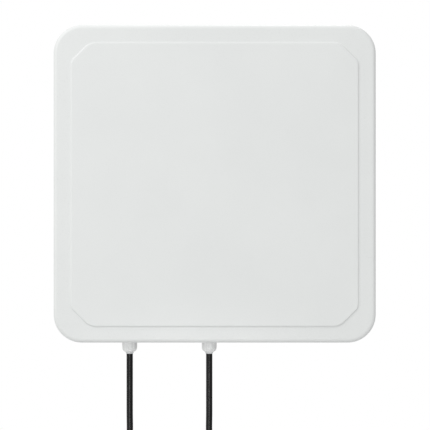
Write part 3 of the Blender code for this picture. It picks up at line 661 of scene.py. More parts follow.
def field_loop(inset, y):
    """The raised field's outline moved inwards: a rectangle whose cut corners have soft bends."""
    half_width = PANEL_WIDTH / 2 - FIELD_SIDE - inset
    half_height = (PANEL_HEIGHT - FIELD_TOP - FIELD_BOTTOM) / 2 - inset
    centre_z = (FIELD_BOTTOM - FIELD_TOP) / 2
    cut = FIELD_CUT - inset * (2 - math.sqrt(2))
    side_bend, level_bend = (bend - inset for bend in FIELD_BENDS)
    eighth = math.pi / 4
    slack = math.tan(eighth / 2)
    steps = CORNER_STEPS // 2
    side_centre = (half_width - side_bend, half_height - cut - side_bend * slack)
    level_centre = (half_width - cut - level_bend * slack, half_height - level_bend)
    corner = corner_arc(side_centre, side_bend, 0, eighth, steps)
    corner += corner_arc(level_centre, level_bend, eighth, eighth, steps)[1:]
    loop = []
    for side, level in ((1, 1), (-1, 1), (-1, -1), (1, -1)):
        ordered = corner if side * level > 0 else corner[::-1]
        loop += [Vector((side * x, y, level * z + centre_z)) for x, z in ordered]
    return loop


def column(radius, length):
    return [(0, 0), (radius, 0), (radius, length), (0, length)]


def coned(radius, length, foot):
    """A moulded column with a small fillet at its foot."""
    angles = (0.5, 1.0, math.pi / 2)
    fillet = [(radius + foot * (1 - math.sin(a)), foot * (1 - math.cos(a))) for a in angles]
    return [(0, -foot), (radius + foot, -foot), (radius + foot, 0), *fillet, (radius, length), (0, length)]


# The panel's shells.
def corners(half_x, half_z):
    return [(side * half_x, level * half_z) for side in (-1, 1) for level in (-1, 1)]


def screw_places():
    """Where the cover's eight screws sit, two along each side."""
    beside = corners(PANEL_WIDTH / 2 - SCREW_INSET, 0.12)
    return beside + corners(0.165, PANEL_HEIGHT / 2 - SCREW_INSET)


def fixing_places():
    return corners(FIXING_PITCH / 2, FIXING_PITCH / 2)


def board_corners():
    """Where the reader board is screwed down."""
    inset = BOARD_SCREW_INSET
    sides = (BOARD_LOW[0] + inset, BOARD_HIGH[0] - inset)
    return [(x, z) for x in sides for z in (BOARD_LOW[2] + inset, BOARD_HIGH[2] - inset)]


def make_radome():
    """The front cover: a raised field with soft shoulders, a filleted rim, an inner rib and bosses."""
    soft, flat, slope_steps = 0.0005, 0.0015, 10
    back, inner, wall = COVER_BACK_Y, COVER_INNER_Y, COVER_WALL
    loops = [field_loop(FIELD_SLOPE + flat, FIELD_Y)]
    for k in range(slope_steps + 1):
        share = k / slope_steps
        rise = share * share * (3 - 2 * share)
        loops.append(field_loop(FIELD_SLOPE * (1 - share), FIELD_Y + (RIM_Y - FIELD_Y) * rise))
    loops.append(field_loop(-flat, RIM_Y))
    levels = [(EDGE_FILLET + flat, RIM_Y)] + round_edge(EDGE_FILLET, 0, RIM_Y, 1, 12)
    levels += [(0, back - 2 * soft), (0.3 * soft, back - 0.3 * soft), (soft, back), (wall - soft, back)]
    levels += [(wall, back - soft), (wall, inner + 2 * soft), (wall + 2 * soft, inner)]
    levels += [(RIB_OUTSIDE - soft, inner), (RIB_OUTSIDE, inner + soft), (RIB_OUTSIDE, RIB_END_Y)]
    levels += [(RIB_INSIDE, RIB_END_Y), (RIB_INSIDE, inner)]
    radome = new_object("radome_shell", shape(add_loft, loops + panel_loops(levels)))
    boss = mm([(0, -12.5), (1.7, -12.5), (1.7, 0), (4.2, 0)], FLANGE_FRONT_Y - GAP)
    boss += mm([(4.2, -0.5), (0, -0.5)], inner)
    carve(radome, shape(add_pins, screw_places(), 0, boss, 24, AXIS_Y), "UNION")
    adopt(radome, "cover_plastic", "front_radome", sharp=30)


def make_housing():
    """The rear tray: soft edges, a sunk field round the bracket's pad, a flange, columns and bores."""
    soft, root, lip = 0.003, 0.0012, 0.0004
    back, flange, wall = HOUSING_BACK_Y, FLANGE_BACK_Y, TRAY_OUTSIDE
    levels = [(wall + soft + 0.002, back)] + round_edge(soft, wall, back, -1, 6)
    levels += [(wall, flange + root), (wall - 0.3 * root, flange + 0.3 * root), (wall - root, flange)]
    levels += [(FLANGE_OUTSIDE + lip, flange), (FLANGE_OUTSIDE, flange - lip)]
    levels += [(FLANGE_OUTSIDE, FLANGE_FRONT_Y), (FLANGE_INSIDE, FLANGE_FRONT_Y), (FLANGE_INSIDE, flange)]
    levels += [(TRAY_INSIDE, flange), (TRAY_INSIDE, back - HOUSING_FLOOR)]
    housing = new_object("housing_shell", shape(add_loft, panel_loops(levels)))
    carve(housing, sunk_field())
    inside = back - HOUSING_FLOOR + 0.0004
    tall, short = inside - PLANE_BACK_Y - GAP, inside - BOARD_HIGH[1] - GAP
    columns = shape(add_pins, corners(*COLUMNS), inside, coned(0.005, tall, 0.0008), 24)
    add_pins(columns, fixing_places(), inside, coned(0.008, 0.013, 0.0008), 28)
    add_pins(columns, board_corners(), inside, coned(0.003, short, 0.0006), 18)
    carve(housing, columns, "UNION")
    holes = shape(add_pins, fixing_places(), back + GAP, column(BOLT_HOLE, 0.0125 + GAP), 24)
    add_pins(holes, board_corners(), BOARD_HIGH[1] + 0.0035, column(0.0012, 0.005), 14)
    add_pins(holes, screw_places(), flange + 0.001, column(0.0018, 0.006), 18)
    for name in LEADS:
        mouth = JOINT_AT[f"{name}_cord_hang"]
        add_turned(holes, column(0.0083, 0.006), (mouth.x, mouth.y, WALL_BOTTOM_Z - 0.001), AXIS_Z, 36)
    add_pins(holes, [VENT_PLACE], back + 0.001, column(0.0063, 0.006), 28)
    carve(housing, holes)
    adopt(housing, "housing_plastic", "rear_housing", sharp=34)


def sunk_field():
    """The cutter for the tray's back: a wide shallow field that leaves a square pad and a round one."""
    sunk, draft, proud = 0.001, 0.0012, 0.0005
    spread = draft * (sunk + proud) / sunk
    low, high = HOUSING_BACK_Y - sunk, HOUSING_BACK_Y + proud
    wide = [size - 2 * (TRAY_OUTSIDE + 0.017) for size in (PANEL_WIDTH, PANEL_HEIGHT)]
    pad = 2 * [PANEL_PLATE[1] + 0.018 + 2 * draft]
    loops = block_loops((0, 0), wide, 0.016, ((0, low), (-spread, high)))
    loops += block_loops((0, 0), pad, 0.012, ((spread, high), (0, low)))
    field = new_object("field", shape(add_loft, loops, True))
    island = mm([(0, -4), (12.5, -4), (12.5, -1), (11.3, 0), (10.5, 2), (0, 2)])
    carve(field, shape(add_pins, [VENT_PLACE], HOUSING_BACK_Y, island, 40, AXIS_Y))
    return reopened(field)


def cross_outline(reach, half):
    """A plus sign in (x, z)."""
    arm = [(reach, -half), (reach, half), (half, half)]
    quarters = ((1, 0), (0, 1), (-1, 0), (0, -1))
    return [(a * x - b * z, b * x + a * z) for a, b in quarters for x, z in arm]


def make_cover_screws():
    """Pan-head screws with a cross recess, their heads on the flange's back."""
    face = FLANGE_BACK_Y + GAP
    profile = [(0, 1.7), (1.3, 1.68), (2.1, 1.4), (2.6, 0.8), (2.7, 0.3), (2.6, 0), (1.4, 0)]
    for turn in range(12):
        profile += [(1.1, -1.6 - turn), (1.4, -2.0 - turn), (1.1, -2.4 - turn)]
    profile.append((0, -15))
    for number, (x, z) in enumerate(screw_places(), 1):
        screw = new_object(f"pan_screw_{number}", shape(add_turned, mm(profile), (x, face, z), AXIS_Y, 28))
        cross = shifted(cross_outline(0.0014, 0.00035), x, z)
        carve(screw, shape(add_plate, cross, face + 0.003, face + 0.0008))
        adopt(screw, "zinc_steel", f"cover_screw_{number}")


def make_vent():
    """A breather plug: a domed cap with side slots over a threaded neck."""
    place = (VENT_PLACE[0], HOUSING_BACK_Y, VENT_PLACE[1])
    cap = [(0, 3.5), (4, 3.4), (6.2, 3), (7.8, 2.2), (8.5, 1.2), (8.5, GAP / MM)]
    neck = [(6, GAP / MM), (6, -5.5), (5.5, -6), (0, -6)]
    vent = new_object("breather_plug", shape(add_turned, mm(cap + neck), place, AXIS_Y, 48))
    slots = bmesh.new()
    for k in range(8):
        corner_verts = add_box(slots, (0.0062, 0.0007, -0.0008), (0.01, 0.0016, 0.0008))
        turn = Matrix.Translation(place) @ Matrix.Rotation(math.pi / 4 * (k + 0.5), 4, "Y")
        bmesh.ops.transform(slots, matrix=turn, verts=corner_verts)
    carve(vent, slots)
    adopt(vent, "spacer_nylon", "vent_plug")


# Glands.
def make_gland(name):
    """A cable gland in the lower wall: hexagon body, grooved dome nut, rubber seal and locknut."""
    mouth = JOINT_AT[f"{name}_cord_hang"]
    place, wall = (mouth.x, mouth.y, 0), WALL_BOTTOM_Z - GAP
    threads = [(5.5, 8), (7.4, 8)]
    for turn in range(4):
        threads += [(7.9, 7.3 - 1.2 * turn), (7.4, 6.8 - 1.2 * turn)]
    body = [(7.9, 3.5), (7.9, 0), *hex_rows(GLAND_HEX, (0, 0.94), (-0.6,), (-4.3,), (-5, 0.94))]
    body += [(7.4, -5), (7.4, -10.5), (5.5, -10.5)]
    profile = mm(threads, WALL_TOP_Z) + mm(body, wall)
    turned = (place, AXIS_Z, "gland_nylon")
    turned_piece(f"{name}_gland_thread", profile, *turned, f"{name}_gland_body", segments=72, sharp=25)
    profile = gland_cap(wall - 0.005 - GAP)
    turned_piece(f"{name}_dome_nut", profile, *turned, f"{name}_gland_cap", segments=96, sharp=50)
    bore = (LEAD_RADIUS + GAP) / MM
    lip = [(5.6, 1.6), (5.5, 0.8), (5.3, 0.3), (5, 0), (bore + 0.2, 0), (bore, 0.2)]
    profile = mm([(bore, -11), (5.6, -11)], wall) + mm(lip, mouth.z)
    turned_piece(f"{name}_gland_bush", profile, place, AXIS_Z, "grey_rubber", f"{name}_gland_seal")
    nut = hex_rows(GLAND_HEX, (0.3, 0.94), (0.9,), (4.4,), (5, 0.94))
    profile = mm([(8.2, 0.3), *nut, (8.2, 5)], WALL_TOP_Z)
    turned_piece(f"{name}_gland_back_nut", profile, *turned, f"{name}_gland_locknut", segments=72, sharp=25)


def gland_cap(rim):
    """The dome nut's profile: a straight skirt with grip flutes that fade out over the dome."""
    mouth = JOINT_AT["power_cord_hang"].z + 0.0023
    shoulder = mouth + 0.0066
    flutes, deep = 12, 0.7
    skirt = [(7.8, 0), (10, 0), (10.4, -0.4), (10.6, -1), (10.6, -1.8), fluted(10.6, -2.2, flutes, deep)]
    fading = ((10.6, 0, 1), (10.5, 1, 1), (10.3, 2, 0.9), (10, 2.9, 0.7), (9.6, 3.8, 0.5), (9.1, 4.6, 0.3))
    dome = [fluted(radius, -drop, flutes, share * deep) for radius, drop, share in fading]
    dome += [(8.4, -5.3), (7.5, -5.9), (6.7, -6.3)]
    inner = mm([(6.2, 0), (6, 0), (5.9, 0.3)], mouth) + mm([(5.9, 0), (7.8, 0)], shoulder)
    return mm(skirt, rim) + mm(dome, shoulder) + inner


# Leads.
def smooth_line(route, spacing):
    """Evenly spaced points on a smooth curve through a route's points."""
    route = [Vector(p) for p in route]
    padded = [2 * route[0] - route[1]] + route + [2 * route[-1] - route[-2]]
    dense = []
    for before, one, two, after in zip(padded, padded[1:], padded[2:], padded[3:]):
        for k in range(16):
            t = k / 16
            bend = (2 * before - 5 * one + 4 * two - after) * t * t
            bend += (3 * (one - two) + after - before) * t**3
            dense.append((2 * one + (two - before) * t + bend) / 2)
    dense.append(route[-1])
    lengths = [0]
    for one, two in zip(dense, dense[1:]):
        lengths.append(lengths[-1] + (two - one).length)
    count = max(2, round(lengths[-1] / spacing))
    points, at = [], 0
    for k in range(count + 1):
        wanted = lengths[-1] * k / count
        while at < len(dense) - 2 and lengths[at + 1] < wanted:
            at += 1
        share = (wanted - lengths[at]) / (lengths[at + 1] - lengths[at])
        points.append(dense[at].lerp(dense[at + 1], share))
    return points


def strand_place(x, y, side, share):
    """A point of the coil: the lead goes round the ring and slowly round the ring's own section."""
    angle = JOIN_ANGLE + share * (2 * math.pi * COIL_TURNS + math.pi - JOIN_ANGLE)
    strand = -STRAND_TURN - share * (2 * math.pi - 2 * STRAND_TURN)
    radius = COIL_RADIUS + BUNDLE_RADIUS * math.cos(strand)
    across = x - side * COIL_SHIFT + side * radius * math.cos(angle)
    return Vector((across, y + BUNDLE_RADIUS * math.sin(strand), COIL_Z + radius * math.sin(angle)))


def lead_places(x, y, mouth, side):
    """Down from the gland's mouth past the panel, over to the coil, round it, and down to the plug."""
    drop = ((0, mouth + SWING_ROOM), (0, -0.2766), (0, -0.3216), (0, -0.3516))
    sweep = ((-0.0034, -0.3688), (-0.0132, -0.3834))
    places = [Vector((x + side * across, y, z)) for across, z in drop + sweep]
    steps = COIL_TURNS * COIL_STEPS
    coil = [strand_place(x, y, side, k / steps) for k in range(steps + 1)]
    for share in (0.38, 0.72):
        places.append(places[5].lerp(coil[0], share))
    end = coil[-1]
    levels = [COIL_Z - below for below in (0.011, 0.0225, 0.0342)] + [-0.5016, -0.5186, TAIL_END_Z]
    return places + coil + [Vector((end.x, end.y, z)) for z in levels]


def add_tube(bm, points, radius, sides=20):
    """A round tube along points."""
    first = (points[1] - points[0]).normalized()
    across = first.cross(AXIS_Y).normalized()
    angles = [2 * math.pi * step / sides for step in range(sides)]
    rings = []
    for k, point in enumerate(points):
        one, two = points[max(k - 1, 0)], points[min(k + 1, len(points) - 1)]
        along = (two - one).normalized()
        across = (across - along * across.dot(along)).normalized()
        other = along.cross(across)
        rings.append([point + radius * (math.cos(a) * across + math.sin(a) * other) for a in angles])
    add_loft(bm, rings)


def make_lead(name, side):
    """One free lead, its tie and its plug."""
    mouth = JOINT_AT[f"{name}_cord_hang"]
    points = smooth_line(lead_places(mouth.x, mouth.y, mouth.z, side), 0.0036)
    solids = (f"{name}_lead", f"{name}_lead_coil", f"{name}_lead_tail")
    cord = piece(f"{name}_cable", shape(add_tube, points, LEAD_RADIUS), "lead_sheath", *solids, body=None)
    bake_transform(cord)
    carried = [make_tie(name, mouth, side)]
    carried += make_power_plug(points[-1]) if name == "power" else make_data_plug(points[-1])


def make_tie(name, mouth, side):
    """A cable tie round the coil's top: a ribbed strap, its head and the cut end."""
    centre = Vector((mouth.x - side * COIL_SHIFT, mouth.y, COIL_Z + COIL_RADIUS))
    inside = BUNDLE_RADIUS + LEAD_RADIUS + 2 * GAP
    outside = inside + 0.0012
    half, edge, ribs = 0.0024, 0.0003, 120

    def outer(angle):
        return outside - 0.00018 * (0.5 + 0.5 * math.cos(ribs * angle))

    profile = [(inside, -half + edge), (inside + edge, -half), (outside - edge, -half)]
    profile += [(outer, -half + 2 * edge), (outer, half - 2 * edge), (outside - edge, half)]
    profile += [(inside + edge, half), (inside, half - edge)]
    tie = new_object(f"{name}_cable_tie", shape(add_turned, profile, centre, AXIS_X, 480))
    top = (mouth.x - side * COIL_SHIFT, centre.y, centre.z + inside)
    head = reopened(soft_box("block", near(top, -3.9, -3.4, -0.1), near(top, 3.9, 3.4, 4.8), 0.0007))
    add_box(head, near(top, -2.4, -1.1, 0), near(top, 2.4, 0.1, 8))
    carve(tie, head, "UNION")
    return adopt(tie, "tie_nylon", f"{name}_lead_tie", body=f"{name}_cord")


def make_power_plug(end):
    """A barrel plug: a ribbed strain relief, a knurled grip and a metal barrel."""
    place = Vector((end.x, end.y, end.z - GAP))
    grip = [(0, 0), (5, 0), (5.4, -0.4)]
    for k in range(5):
        radius, at = 5.5 + 0.12 * k, -1.2 - 2.4 * k
        grip += [(radius, at), (radius - 0.7, at - 0.3), (radius - 0.7, at - 1.2), (radius, at - 1.5)]
    grip += [(6, -14), (6.8, -14.5), (7.1, -15.2), fluted(7.2, -16.5, 24, 0.4), fluted(7.2, -33.5, 24, 0.4)]
    grip += [(7.1, -34.8), (6.9, -35.5), (6.6, -36), (0, -36)]
    barrel = [(2.62, -35.5), (2.75, -36.5), (2.75, -44.7), (2.55, -45.5), (1.4, -45.5), (1.2, -45.2)]
    barrel += [(1.2, -37.5), (1, -35.5)]
    black = (mm(grip), place, AXIS_Z, "plug_plastic", "power_plug")
    metal = (mm(barrel), place, AXIS_Z, "zinc_steel")
    return [
        turned_piece("power_plug_grip", *black, segments=96, sharp=50, body="power_cord"),
        turned_piece("power_plug_barrel", *metal, segments=40, body="power_cord"),
    ]


def plug_shape(place, levels):
    """A loft through (height, width, depth, corner radius) levels in millimetres."""
    loops = []
    for level in levels:
        height, *size = (MM * value for value in level)
        loops.append([place + Vector((x, y, height)) for x, y in rounded_outline(*size, 6)])
    return shape(add_loft, loops)


def make_data_plug(end):
    """A modular plug: a snagless boot, a body with eight contact slots, and a latch."""
    place = Vector((end.x, end.y, end.z - GAP))
    sleeve = ((0, 10, 10, 4.9), (-0.8, 10.8, 10.8, 5.3), (-16, 12.4, 11.6, 3))
    collar = ((-18, 13, 10, 1.6), (-25.5, 13, 10, 1.2), (-26, 12.6, 9.6, 1))
    nose = ((-26.2, 11.7, 8.3, 0.6), (-43.6, 11.7, 8.3, 0.6), (-44, 11.3, 7.9, 0.4))
    half_depth = 8.3 / 2
    boot = new_object("data_plug_boot", plug_shape(place, sleeve + collar))
    grooves = bmesh.new()
    for at in (-3, -6, -9, -12):
        for middle in (-5, 5):
            add_box(grooves, near(place, -8, middle - 0.8, at - 1.2), near(place, 8, middle + 2, at))
    carve(boot, grooves)
    adopt(boot, "plug_plastic", "data_plug", body="data_cord")
    body = new_object("data_plug_body", plug_shape(place, nose))
    slots, pins = bmesh.new(), bmesh.new()
    for k in range(8):
        row = near(place, (k - 3.5) * 1.02, half_depth, -44)
        add_box(slots, near(row, -0.3, -2.2, -1), near(row, 0.3, 1, 6.2))
        add_box(pins, near(row, -0.16, -3, 0.4), near(row, 0.16, -0.6, 6.6))
    carve(body, slots)
    latch = [(1, -43.5), (-0.6, -43.5), (-1, -43), (-3, -29), (-2.9, -27.5), (-1.8, -27.2)]
    latch += [(-0.2, -40), (1, -41)]
    outline = [near((place.y, place.z), y - half_depth, z) for y, z in latch]
    carve(body, shape(add_prism, outline, place.x - 0.003, place.x + 0.003), "UNION")
    adopt(body, "plug_plastic", body="data_cord")
    return [boot, body, piece("data_plug_contacts", pins, "zinc_steel", body="data_cord")]


# Brackets.
def ear_outline(base_y, base_half, radius, lean):
    """An ear in (y, z): a base edge and a round end about the tilt axis."""
    side = 1 if base_y > TILT_Y else -1
    start = math.radians(lean)
    arc = corner_arc((0, 0), radius, start, 2 * (math.pi - start), 40)
    return [(base_y, -base_half), (base_y, base_half)] + [(TILT_Y + side * y, z) for y, z in arc]


def arc_slot(reach, half_width):
    """A slot in (y, z) that follows a lock bolt round the tilt axis, with round ends."""
    top, steps = math.pi / 2, 16
    tilt = (TILT_Y, 0)
    outer = corner_arc(tilt, SLOT_RADIUS + half_width, top - reach, 2 * reach, steps)
    inner = corner_arc(tilt, SLOT_RADIUS - half_width, top + reach, -2 * reach, steps)
    ends = []
    for angle in (top + reach, top - reach):
        centre = (TILT_Y + SLOT_RADIUS * math.cos(angle), SLOT_RADIUS * math.sin(angle))
        start = angle if angle > top else angle + math.pi
        ends.append(corner_arc(centre, half_width, start, math.pi, 12)[1:-1])
    return outer + ends[0] + inner + ends[1]


def channel_outline(half_width, bend, end_y):
    """A U in (x, y): the plate lies on the wall, and both ears are bent towards the front."""
    quarter, inner, middle = math.pi / 2, bend - STEEL, half_width - bend
    outline = [(half_width, end_y)]
    outline += corner_arc((middle, -bend), bend, 0, quarter, 8)
    outline += corner_arc((-middle, -bend), bend, quarter, quarter, 8)
    outline += [(-half_width, end_y), (-half_width + STEEL, end_y)]
    outline += corner_arc((-middle, -bend), inner, math.pi, -quarter, 6)
    outline += corner_arc((middle, -bend), inner, quarter, -quarter, 6)
    return outline + [(half_width - STEEL, end_y)]


def make_wall_bracket():
    """A pressed channel: plate and bent ears in one, with slots, arc slots and pivot holes."""
    bend, base, beyond = 0.0045, 0.045, 0.001
    half_z = WALL_PLATE[1] / 2
    section = channel_outline(WALL_EAR_X, bend, TILT_Y - EAR_RADIUS - 0.002)
    loops = [[Vector((x, y, z)) for x, y in section] for z in (-half_z, half_z)]
    bracket = new_object("wall_channel", shape(add_loft, loops))
    ear = ear_outline(-STEEL, base, EAR_RADIUS, 50)[2:]
    upper = [(-STEEL, half_z + beyond), (-STEEL, base + 0.003), (-STEEL - 0.0009, base + 0.0009)]
    upper.append((-STEEL - 0.003, base - 0.0014))
    lower = [(y, -z) for y, z in reversed(upper)]
    outline = [(beyond, -half_z - beyond), (beyond, half_z + beyond), *upper, *ear, *lower]
    carve(bracket, shape(add_prism, outline, -WALL_EAR_X - 0.002, WALL_EAR_X + 0.002), "INTERSECT")
    outline = rounded_outline(WALL_PLATE[0] + 0.0002, WALL_PLATE[1], PLATE_CORNER)
    carve(bracket, shape(add_plate, outline, 0.002, TILT_Y - 0.05), "INTERSECT")
    cuts = bmesh.new()
    thick = 0.012
    slot = rounded_outline(0.015, 2 * BOLT_HOLE, BOLT_HOLE - 0.0001, 10)
    for x, z in corners(0.035, 0.052):
        add_plate(cuts, shifted(slot, x, z), STEEL, -thick / 2)
    reach = TILT_LIMIT + 0.0002 / SLOT_RADIUS
    for side in (-1, 1):
        faces = sorted((side * (WALL_EAR_X + STEEL), side * (WALL_EAR_X - 2 * STEEL)))
        add_prism(cuts, arc_slot(reach, 0.0034), *faces)
        start = (side * WALL_EAR_X - thick / 2, TILT_Y, 0)
        add_turned(cuts, column(PIVOT_HOLE, thick), start, AXIS_X, 36)
    carve(bracket, cuts)
    soften(bracket, PRESSED_EDGE, 2, 50)
    adopt(bracket, "bracket_paint", "wall_bracket", sharp=40, body="wall_mount")


def make_panel_bracket():
    """A plate on the tray's back with two ears welded to it."""
    back = HOUSING_BACK_Y + GAP
    face = back + STEEL
    outline = rounded_outline(*PANEL_PLATE, PLATE_CORNER)
    bracket = new_object("panel_channel", shape(add_plate, outline, face, back))
    outline = ear_outline(back + STEEL / 2, 0.034, PANEL_EAR_RADIUS, 60)
    ears = bmesh.new()
    for side in (-1, 1):
        add_prism(ears, outline, *sorted((side * PANEL_EAR_X, side * (PANEL_EAR_X - STEEL))))
    carve(bracket, ears, "UNION")
    cuts = shape(add_pins, fixing_places(), face + 0.001, column(BOLT_HOLE, 0.006), 28)
    for side in (-1, 1):
        start = side * (PANEL_EAR_X - STEEL / 2) - 0.004
        add_turned(cuts, column(PIVOT_HOLE, 0.008), (start, TILT_Y, 0), AXIS_X, 36)
        add_turned(cuts, column(BOLT_HOLE, 0.008), (start, TILT_Y, SLOT_RADIUS), AXIS_X, 28)
    carve(bracket, cuts)
    soften(bracket, PRESSED_EDGE, 2, 50)
    adopt(bracket, "bracket_paint", "panel_bracket", sharp=40)
    make_welds(face)


def make_welds(face):
    """A rippled bead along the inner foot of each ear."""
    count, half_length, bite = 120, 0.031, 0.0004
    for name, side in (("left", -1), ("right", 1)):
        x = side * (PANEL_EAR_X - STEEL)
        rings = []
        for k in range(count + 1):
            z = -half_length + 2 * half_length * k / count
            end = min(1.0, 6 * min(k, count - k) / count + 0.25)
            size = end * (0.0021 + 0.0003 * abs(math.sin(math.pi * k / 4)))
            ring = [(x + side * bite, face - bite)]
            ring += [(x - side * a, face + b) for a, b in corner_arc((0, 0), size, 0, math.pi / 2, 6)]
            rings.append([Vector((p, q, z)) for p, q in ring])
        piece(f"weld_bead_{name}", shape(add_loft, rings), "bracket_paint")


def hex_head(apothem, height):
    """A hexagon head from its top down to its seat, with its corners turned down at the top; millimetres."""
    sides = hex_rows(apothem, (height, 0.87), (height - 0.7,), (0.3,), (0, 0.95))
    return [(0, height), (0.72 * apothem, height), *sides]


def thread(radius, start, end, pitch=1.0):
    """Fine rings along a shank, from start down to end, in millimetres."""
    rows = []
    for turn in range(int((start - end) / pitch)):
        at = start - pitch * turn
        rows += [(radius, at - 0.15 * pitch), (radius - 0.4 * pitch, at - 0.5 * pitch)]
        rows.append((radius, at - 0.85 * pitch))
    return rows + [(radius - 0.6, end), (0, end)]


def make_fasteners():
    """Rivets on the tilt axis, lock bolts and nuts in the arc slots, and the panel's four bolts."""
    outside = WALL_EAR_X + GAP
    inside = PANEL_EAR_X - STEEL - GAP
    bends = (0.15, 0.35, 0.6, 0.9, 1.2)
    dome = [(6.8 * math.cos(a), 3.5 * math.sin(a)) for a in reversed(bends)]
    shop = [(6.2 * math.cos(a), -3 * math.sin(a)) for a in bends]
    rivet = mm([(0, 3.5), *dome, (6.8, 0), (4, 0)], outside) + mm([(4, 0), (6.2, 0), *shop, (0, -3)], inside)
    bolt = mm(hex_head(BOLT_HEX, 4.4) + [(5.8, 0), (6.2, -0.3)], outside + 0.0014)
    bolt += mm([(6.2, 0.2), (6, 0), (3, 0)], outside) + mm([(3, 0), *thread(3, 0, -6.5)], inside)
    sides = hex_rows(BOLT_HEX, (0, 0.93), (-0.5,), (-4.3,), (-5, 0.87))
    nut = mm([(3.3, 0), *sides, (3.6, -5), (3.3, -4.7)], inside)
    pivot, slot = (0, TILT_Y, 0), (0, TILT_Y, SLOT_RADIUS)
    for name, side in (("left", -1), ("right", 1)):
        out, zinc = side * AXIS_X, "zinc_steel"
        turned_piece(f"tilt_rivet_{name}", rivet, pivot, out, zinc, f"pivot_rivet_{name}", body="wall_mount")
        turned_piece(f"slot_bolt_{name}", bolt, slot, out, zinc, f"lock_bolt_{name}", sharp=30)
        turned_piece(f"slot_nut_{name}", nut, slot, out, zinc, f"lock_nut_{name}", sharp=30)
    face = HOUSING_BACK_Y + STEEL + 2 * GAP
    bolt = mm(hex_head(BOLT_HEX, 4) + [(3, 0), (3, -4)] + thread(3, -4, -14.5))
    for number, (x, z) in enumerate(fixing_places(), 1):
        node = f"bracket_bolt_{number}"
        turned_piece(f"plate_bolt_{number}", bolt, (x, face, z), AXIS_Y, "zinc_steel", node, sharp=30)


# Inside the panel: the reader's board and what it carries, and the aerials' feed board.
def add_block(bm, x, z, width, height, low, high, radius, steps):
    """A round-cornered block in front of the reader board, between two heights; its size in millimetres."""
    outline = shifted(rounded_outline(MM * width, MM * height, MM * radius, steps), x, z)
    add_plate(bm, outline, BOARD_FACE_Y - MM * low, BOARD_FACE_Y - MM * high)


def make_reader_board():
    """The board, screwed down at its corners."""
    middle, size = face_of("reader_board")
    back = BOARD_HIGH[1]
    outline = shifted(rounded_outline(*size, 0.002, 5), *middle)
    board = new_object("reader_pcb", shape(add_plate, outline, back, BOARD_FACE_Y))
    carve(board, shape(add_pins, board_corners(), back + 0.001, column(0.0015, 0.004), 20))
    adopt(board, "circuit_board", "reader_board")
    head = [(0, 1.2), (1.2, 1.2), (2.1, 0.8), (2.4, 0.3), (2.4, 0), (1.1, 0)]
    profile = mm(head + thread(1.1, 0, -4.5, 0.6))
    for number, (x, z) in enumerate(board_corners(), 1):
        turned_piece(f"board_screw_{number}", profile, (x, BOARD_FACE_Y - GAP, z), -AXIS_Y, "zinc_steel")


def make_chips():
    """Packages with gull-wing legs: place, size and thickness in millimetres, and the legs on each side."""
    chips = (
        (-95, -100, 14, 14, 1.4, 12),
        (-123, -124, 10, 6, 1.7, 7),
        (-85, -127, 8, 5, 1.6, 4),
        (-42, -148, 16, 10, 5.2, 8),
        (38, -124, 6, 6, 1.2, 4),
    )
    face, draft, sheet = BOARD_FACE_Y, 0.0002, 0.00015
    foot = face - 0.0002
    bodies, legs = bmesh.new(), bmesh.new()
    for *sizes, count in chips:
        x, z, width, height, thick = (MM * size for size in sizes)
        middle = foot - thick / 2
        loops = []
        for inset, y in ((draft, foot), (0, middle), (draft, foot - thick)):
            outline = rounded_outline(width - 2 * inset, height - 2 * inset, 0.0003, 2)
            loops.append(flat_loop(shifted(outline, x, z), y))
        add_loft(bodies, loops)
        pitch, edge = width / (count + 0.5), height / 2 - 0.0003
        run = ((middle - sheet, 0), (middle - sheet, 0.0007), (face - 3 * sheet, 0.0011))
        run += ((face - 2 * sheet, 0.0017), (face - sheet, 0.0017), (face - sheet, 0.001))
        run += ((middle, 0.0006), (middle, 0))
        for k in range(count):
            at = x + (k - (count - 1) / 2) * pitch
            for level in (-1, 1):
                outline = [(y, z + level * (edge + out)) for y, out in run]
                add_prism(legs, outline, at - 0.0002, at + 0.0002)
    piece("reader_chips", bodies, "plug_plastic")
    piece("reader_chip_legs", legs, "zinc_steel")


def make_board_parts():
    """Rows of small two-ended parts, a power coil, three tall capacitors and the aerial socket."""
    rows = ((-0.112, -0.114, 9), (-0.108, -0.139, 7), (-0.072, -0.139, 5), (0.031, -0.134, 4))
    bodies, ends = bmesh.new(), bmesh.new()
    for first, z, count in rows:
        for k in range(count):
            x = first + 0.0038 * k
            add_block(bodies, x, z, 0.8, 1.6, 0.1, 0.8, 0.1, 1)
            for level in (-1, 1):
                add_block(ends, x, z + level * 0.0009, 0.9, 0.4, 0.1, 0.9, 0.1, 1)
    piece("reader_small_parts", bodies, "plug_plastic")
    piece("reader_small_ends", ends, "zinc_steel")
    coil = bmesh.new()
    for size, low, high in ((12, 0.1, 1.2), (11.2, 1.2, 5.8)):
        add_block(coil, -0.135, -0.104, size, size, low, high, 2.8, 6)
    piece("reader_coil", coil, "tie_nylon")
    can = [(0, 8.8), (2.4, 8.8), (2.5, 8.6), (3.6, 8.6), (4, 8.2), (4, 2.6), (3.7, 2.2), (3.7, 1.8), (4, 1.4)]
    can = mm(can + [(4, 0.1), (0, 0.1)])
    for number in range(3):
        place = (-0.129 + 0.0115 * number, BOARD_FACE_Y, -0.08)
        turned_piece(f"reader_capacitor_{number + 1}", can, place, -AXIS_Y, "shield_tin", segments=32)
    socket = mm([(0, 0.1), (2.7, 0.1), (2.7, 0.6), (2.1, 0.8), (2.1, 1.3), (0, 1.3)])
    place = (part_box("antenna_jumper")[1][0] - 0.0013, BOARD_FACE_Y, -0.092)
    turned_piece("aerial_socket", socket, place, -AXIS_Y, "zinc_steel")


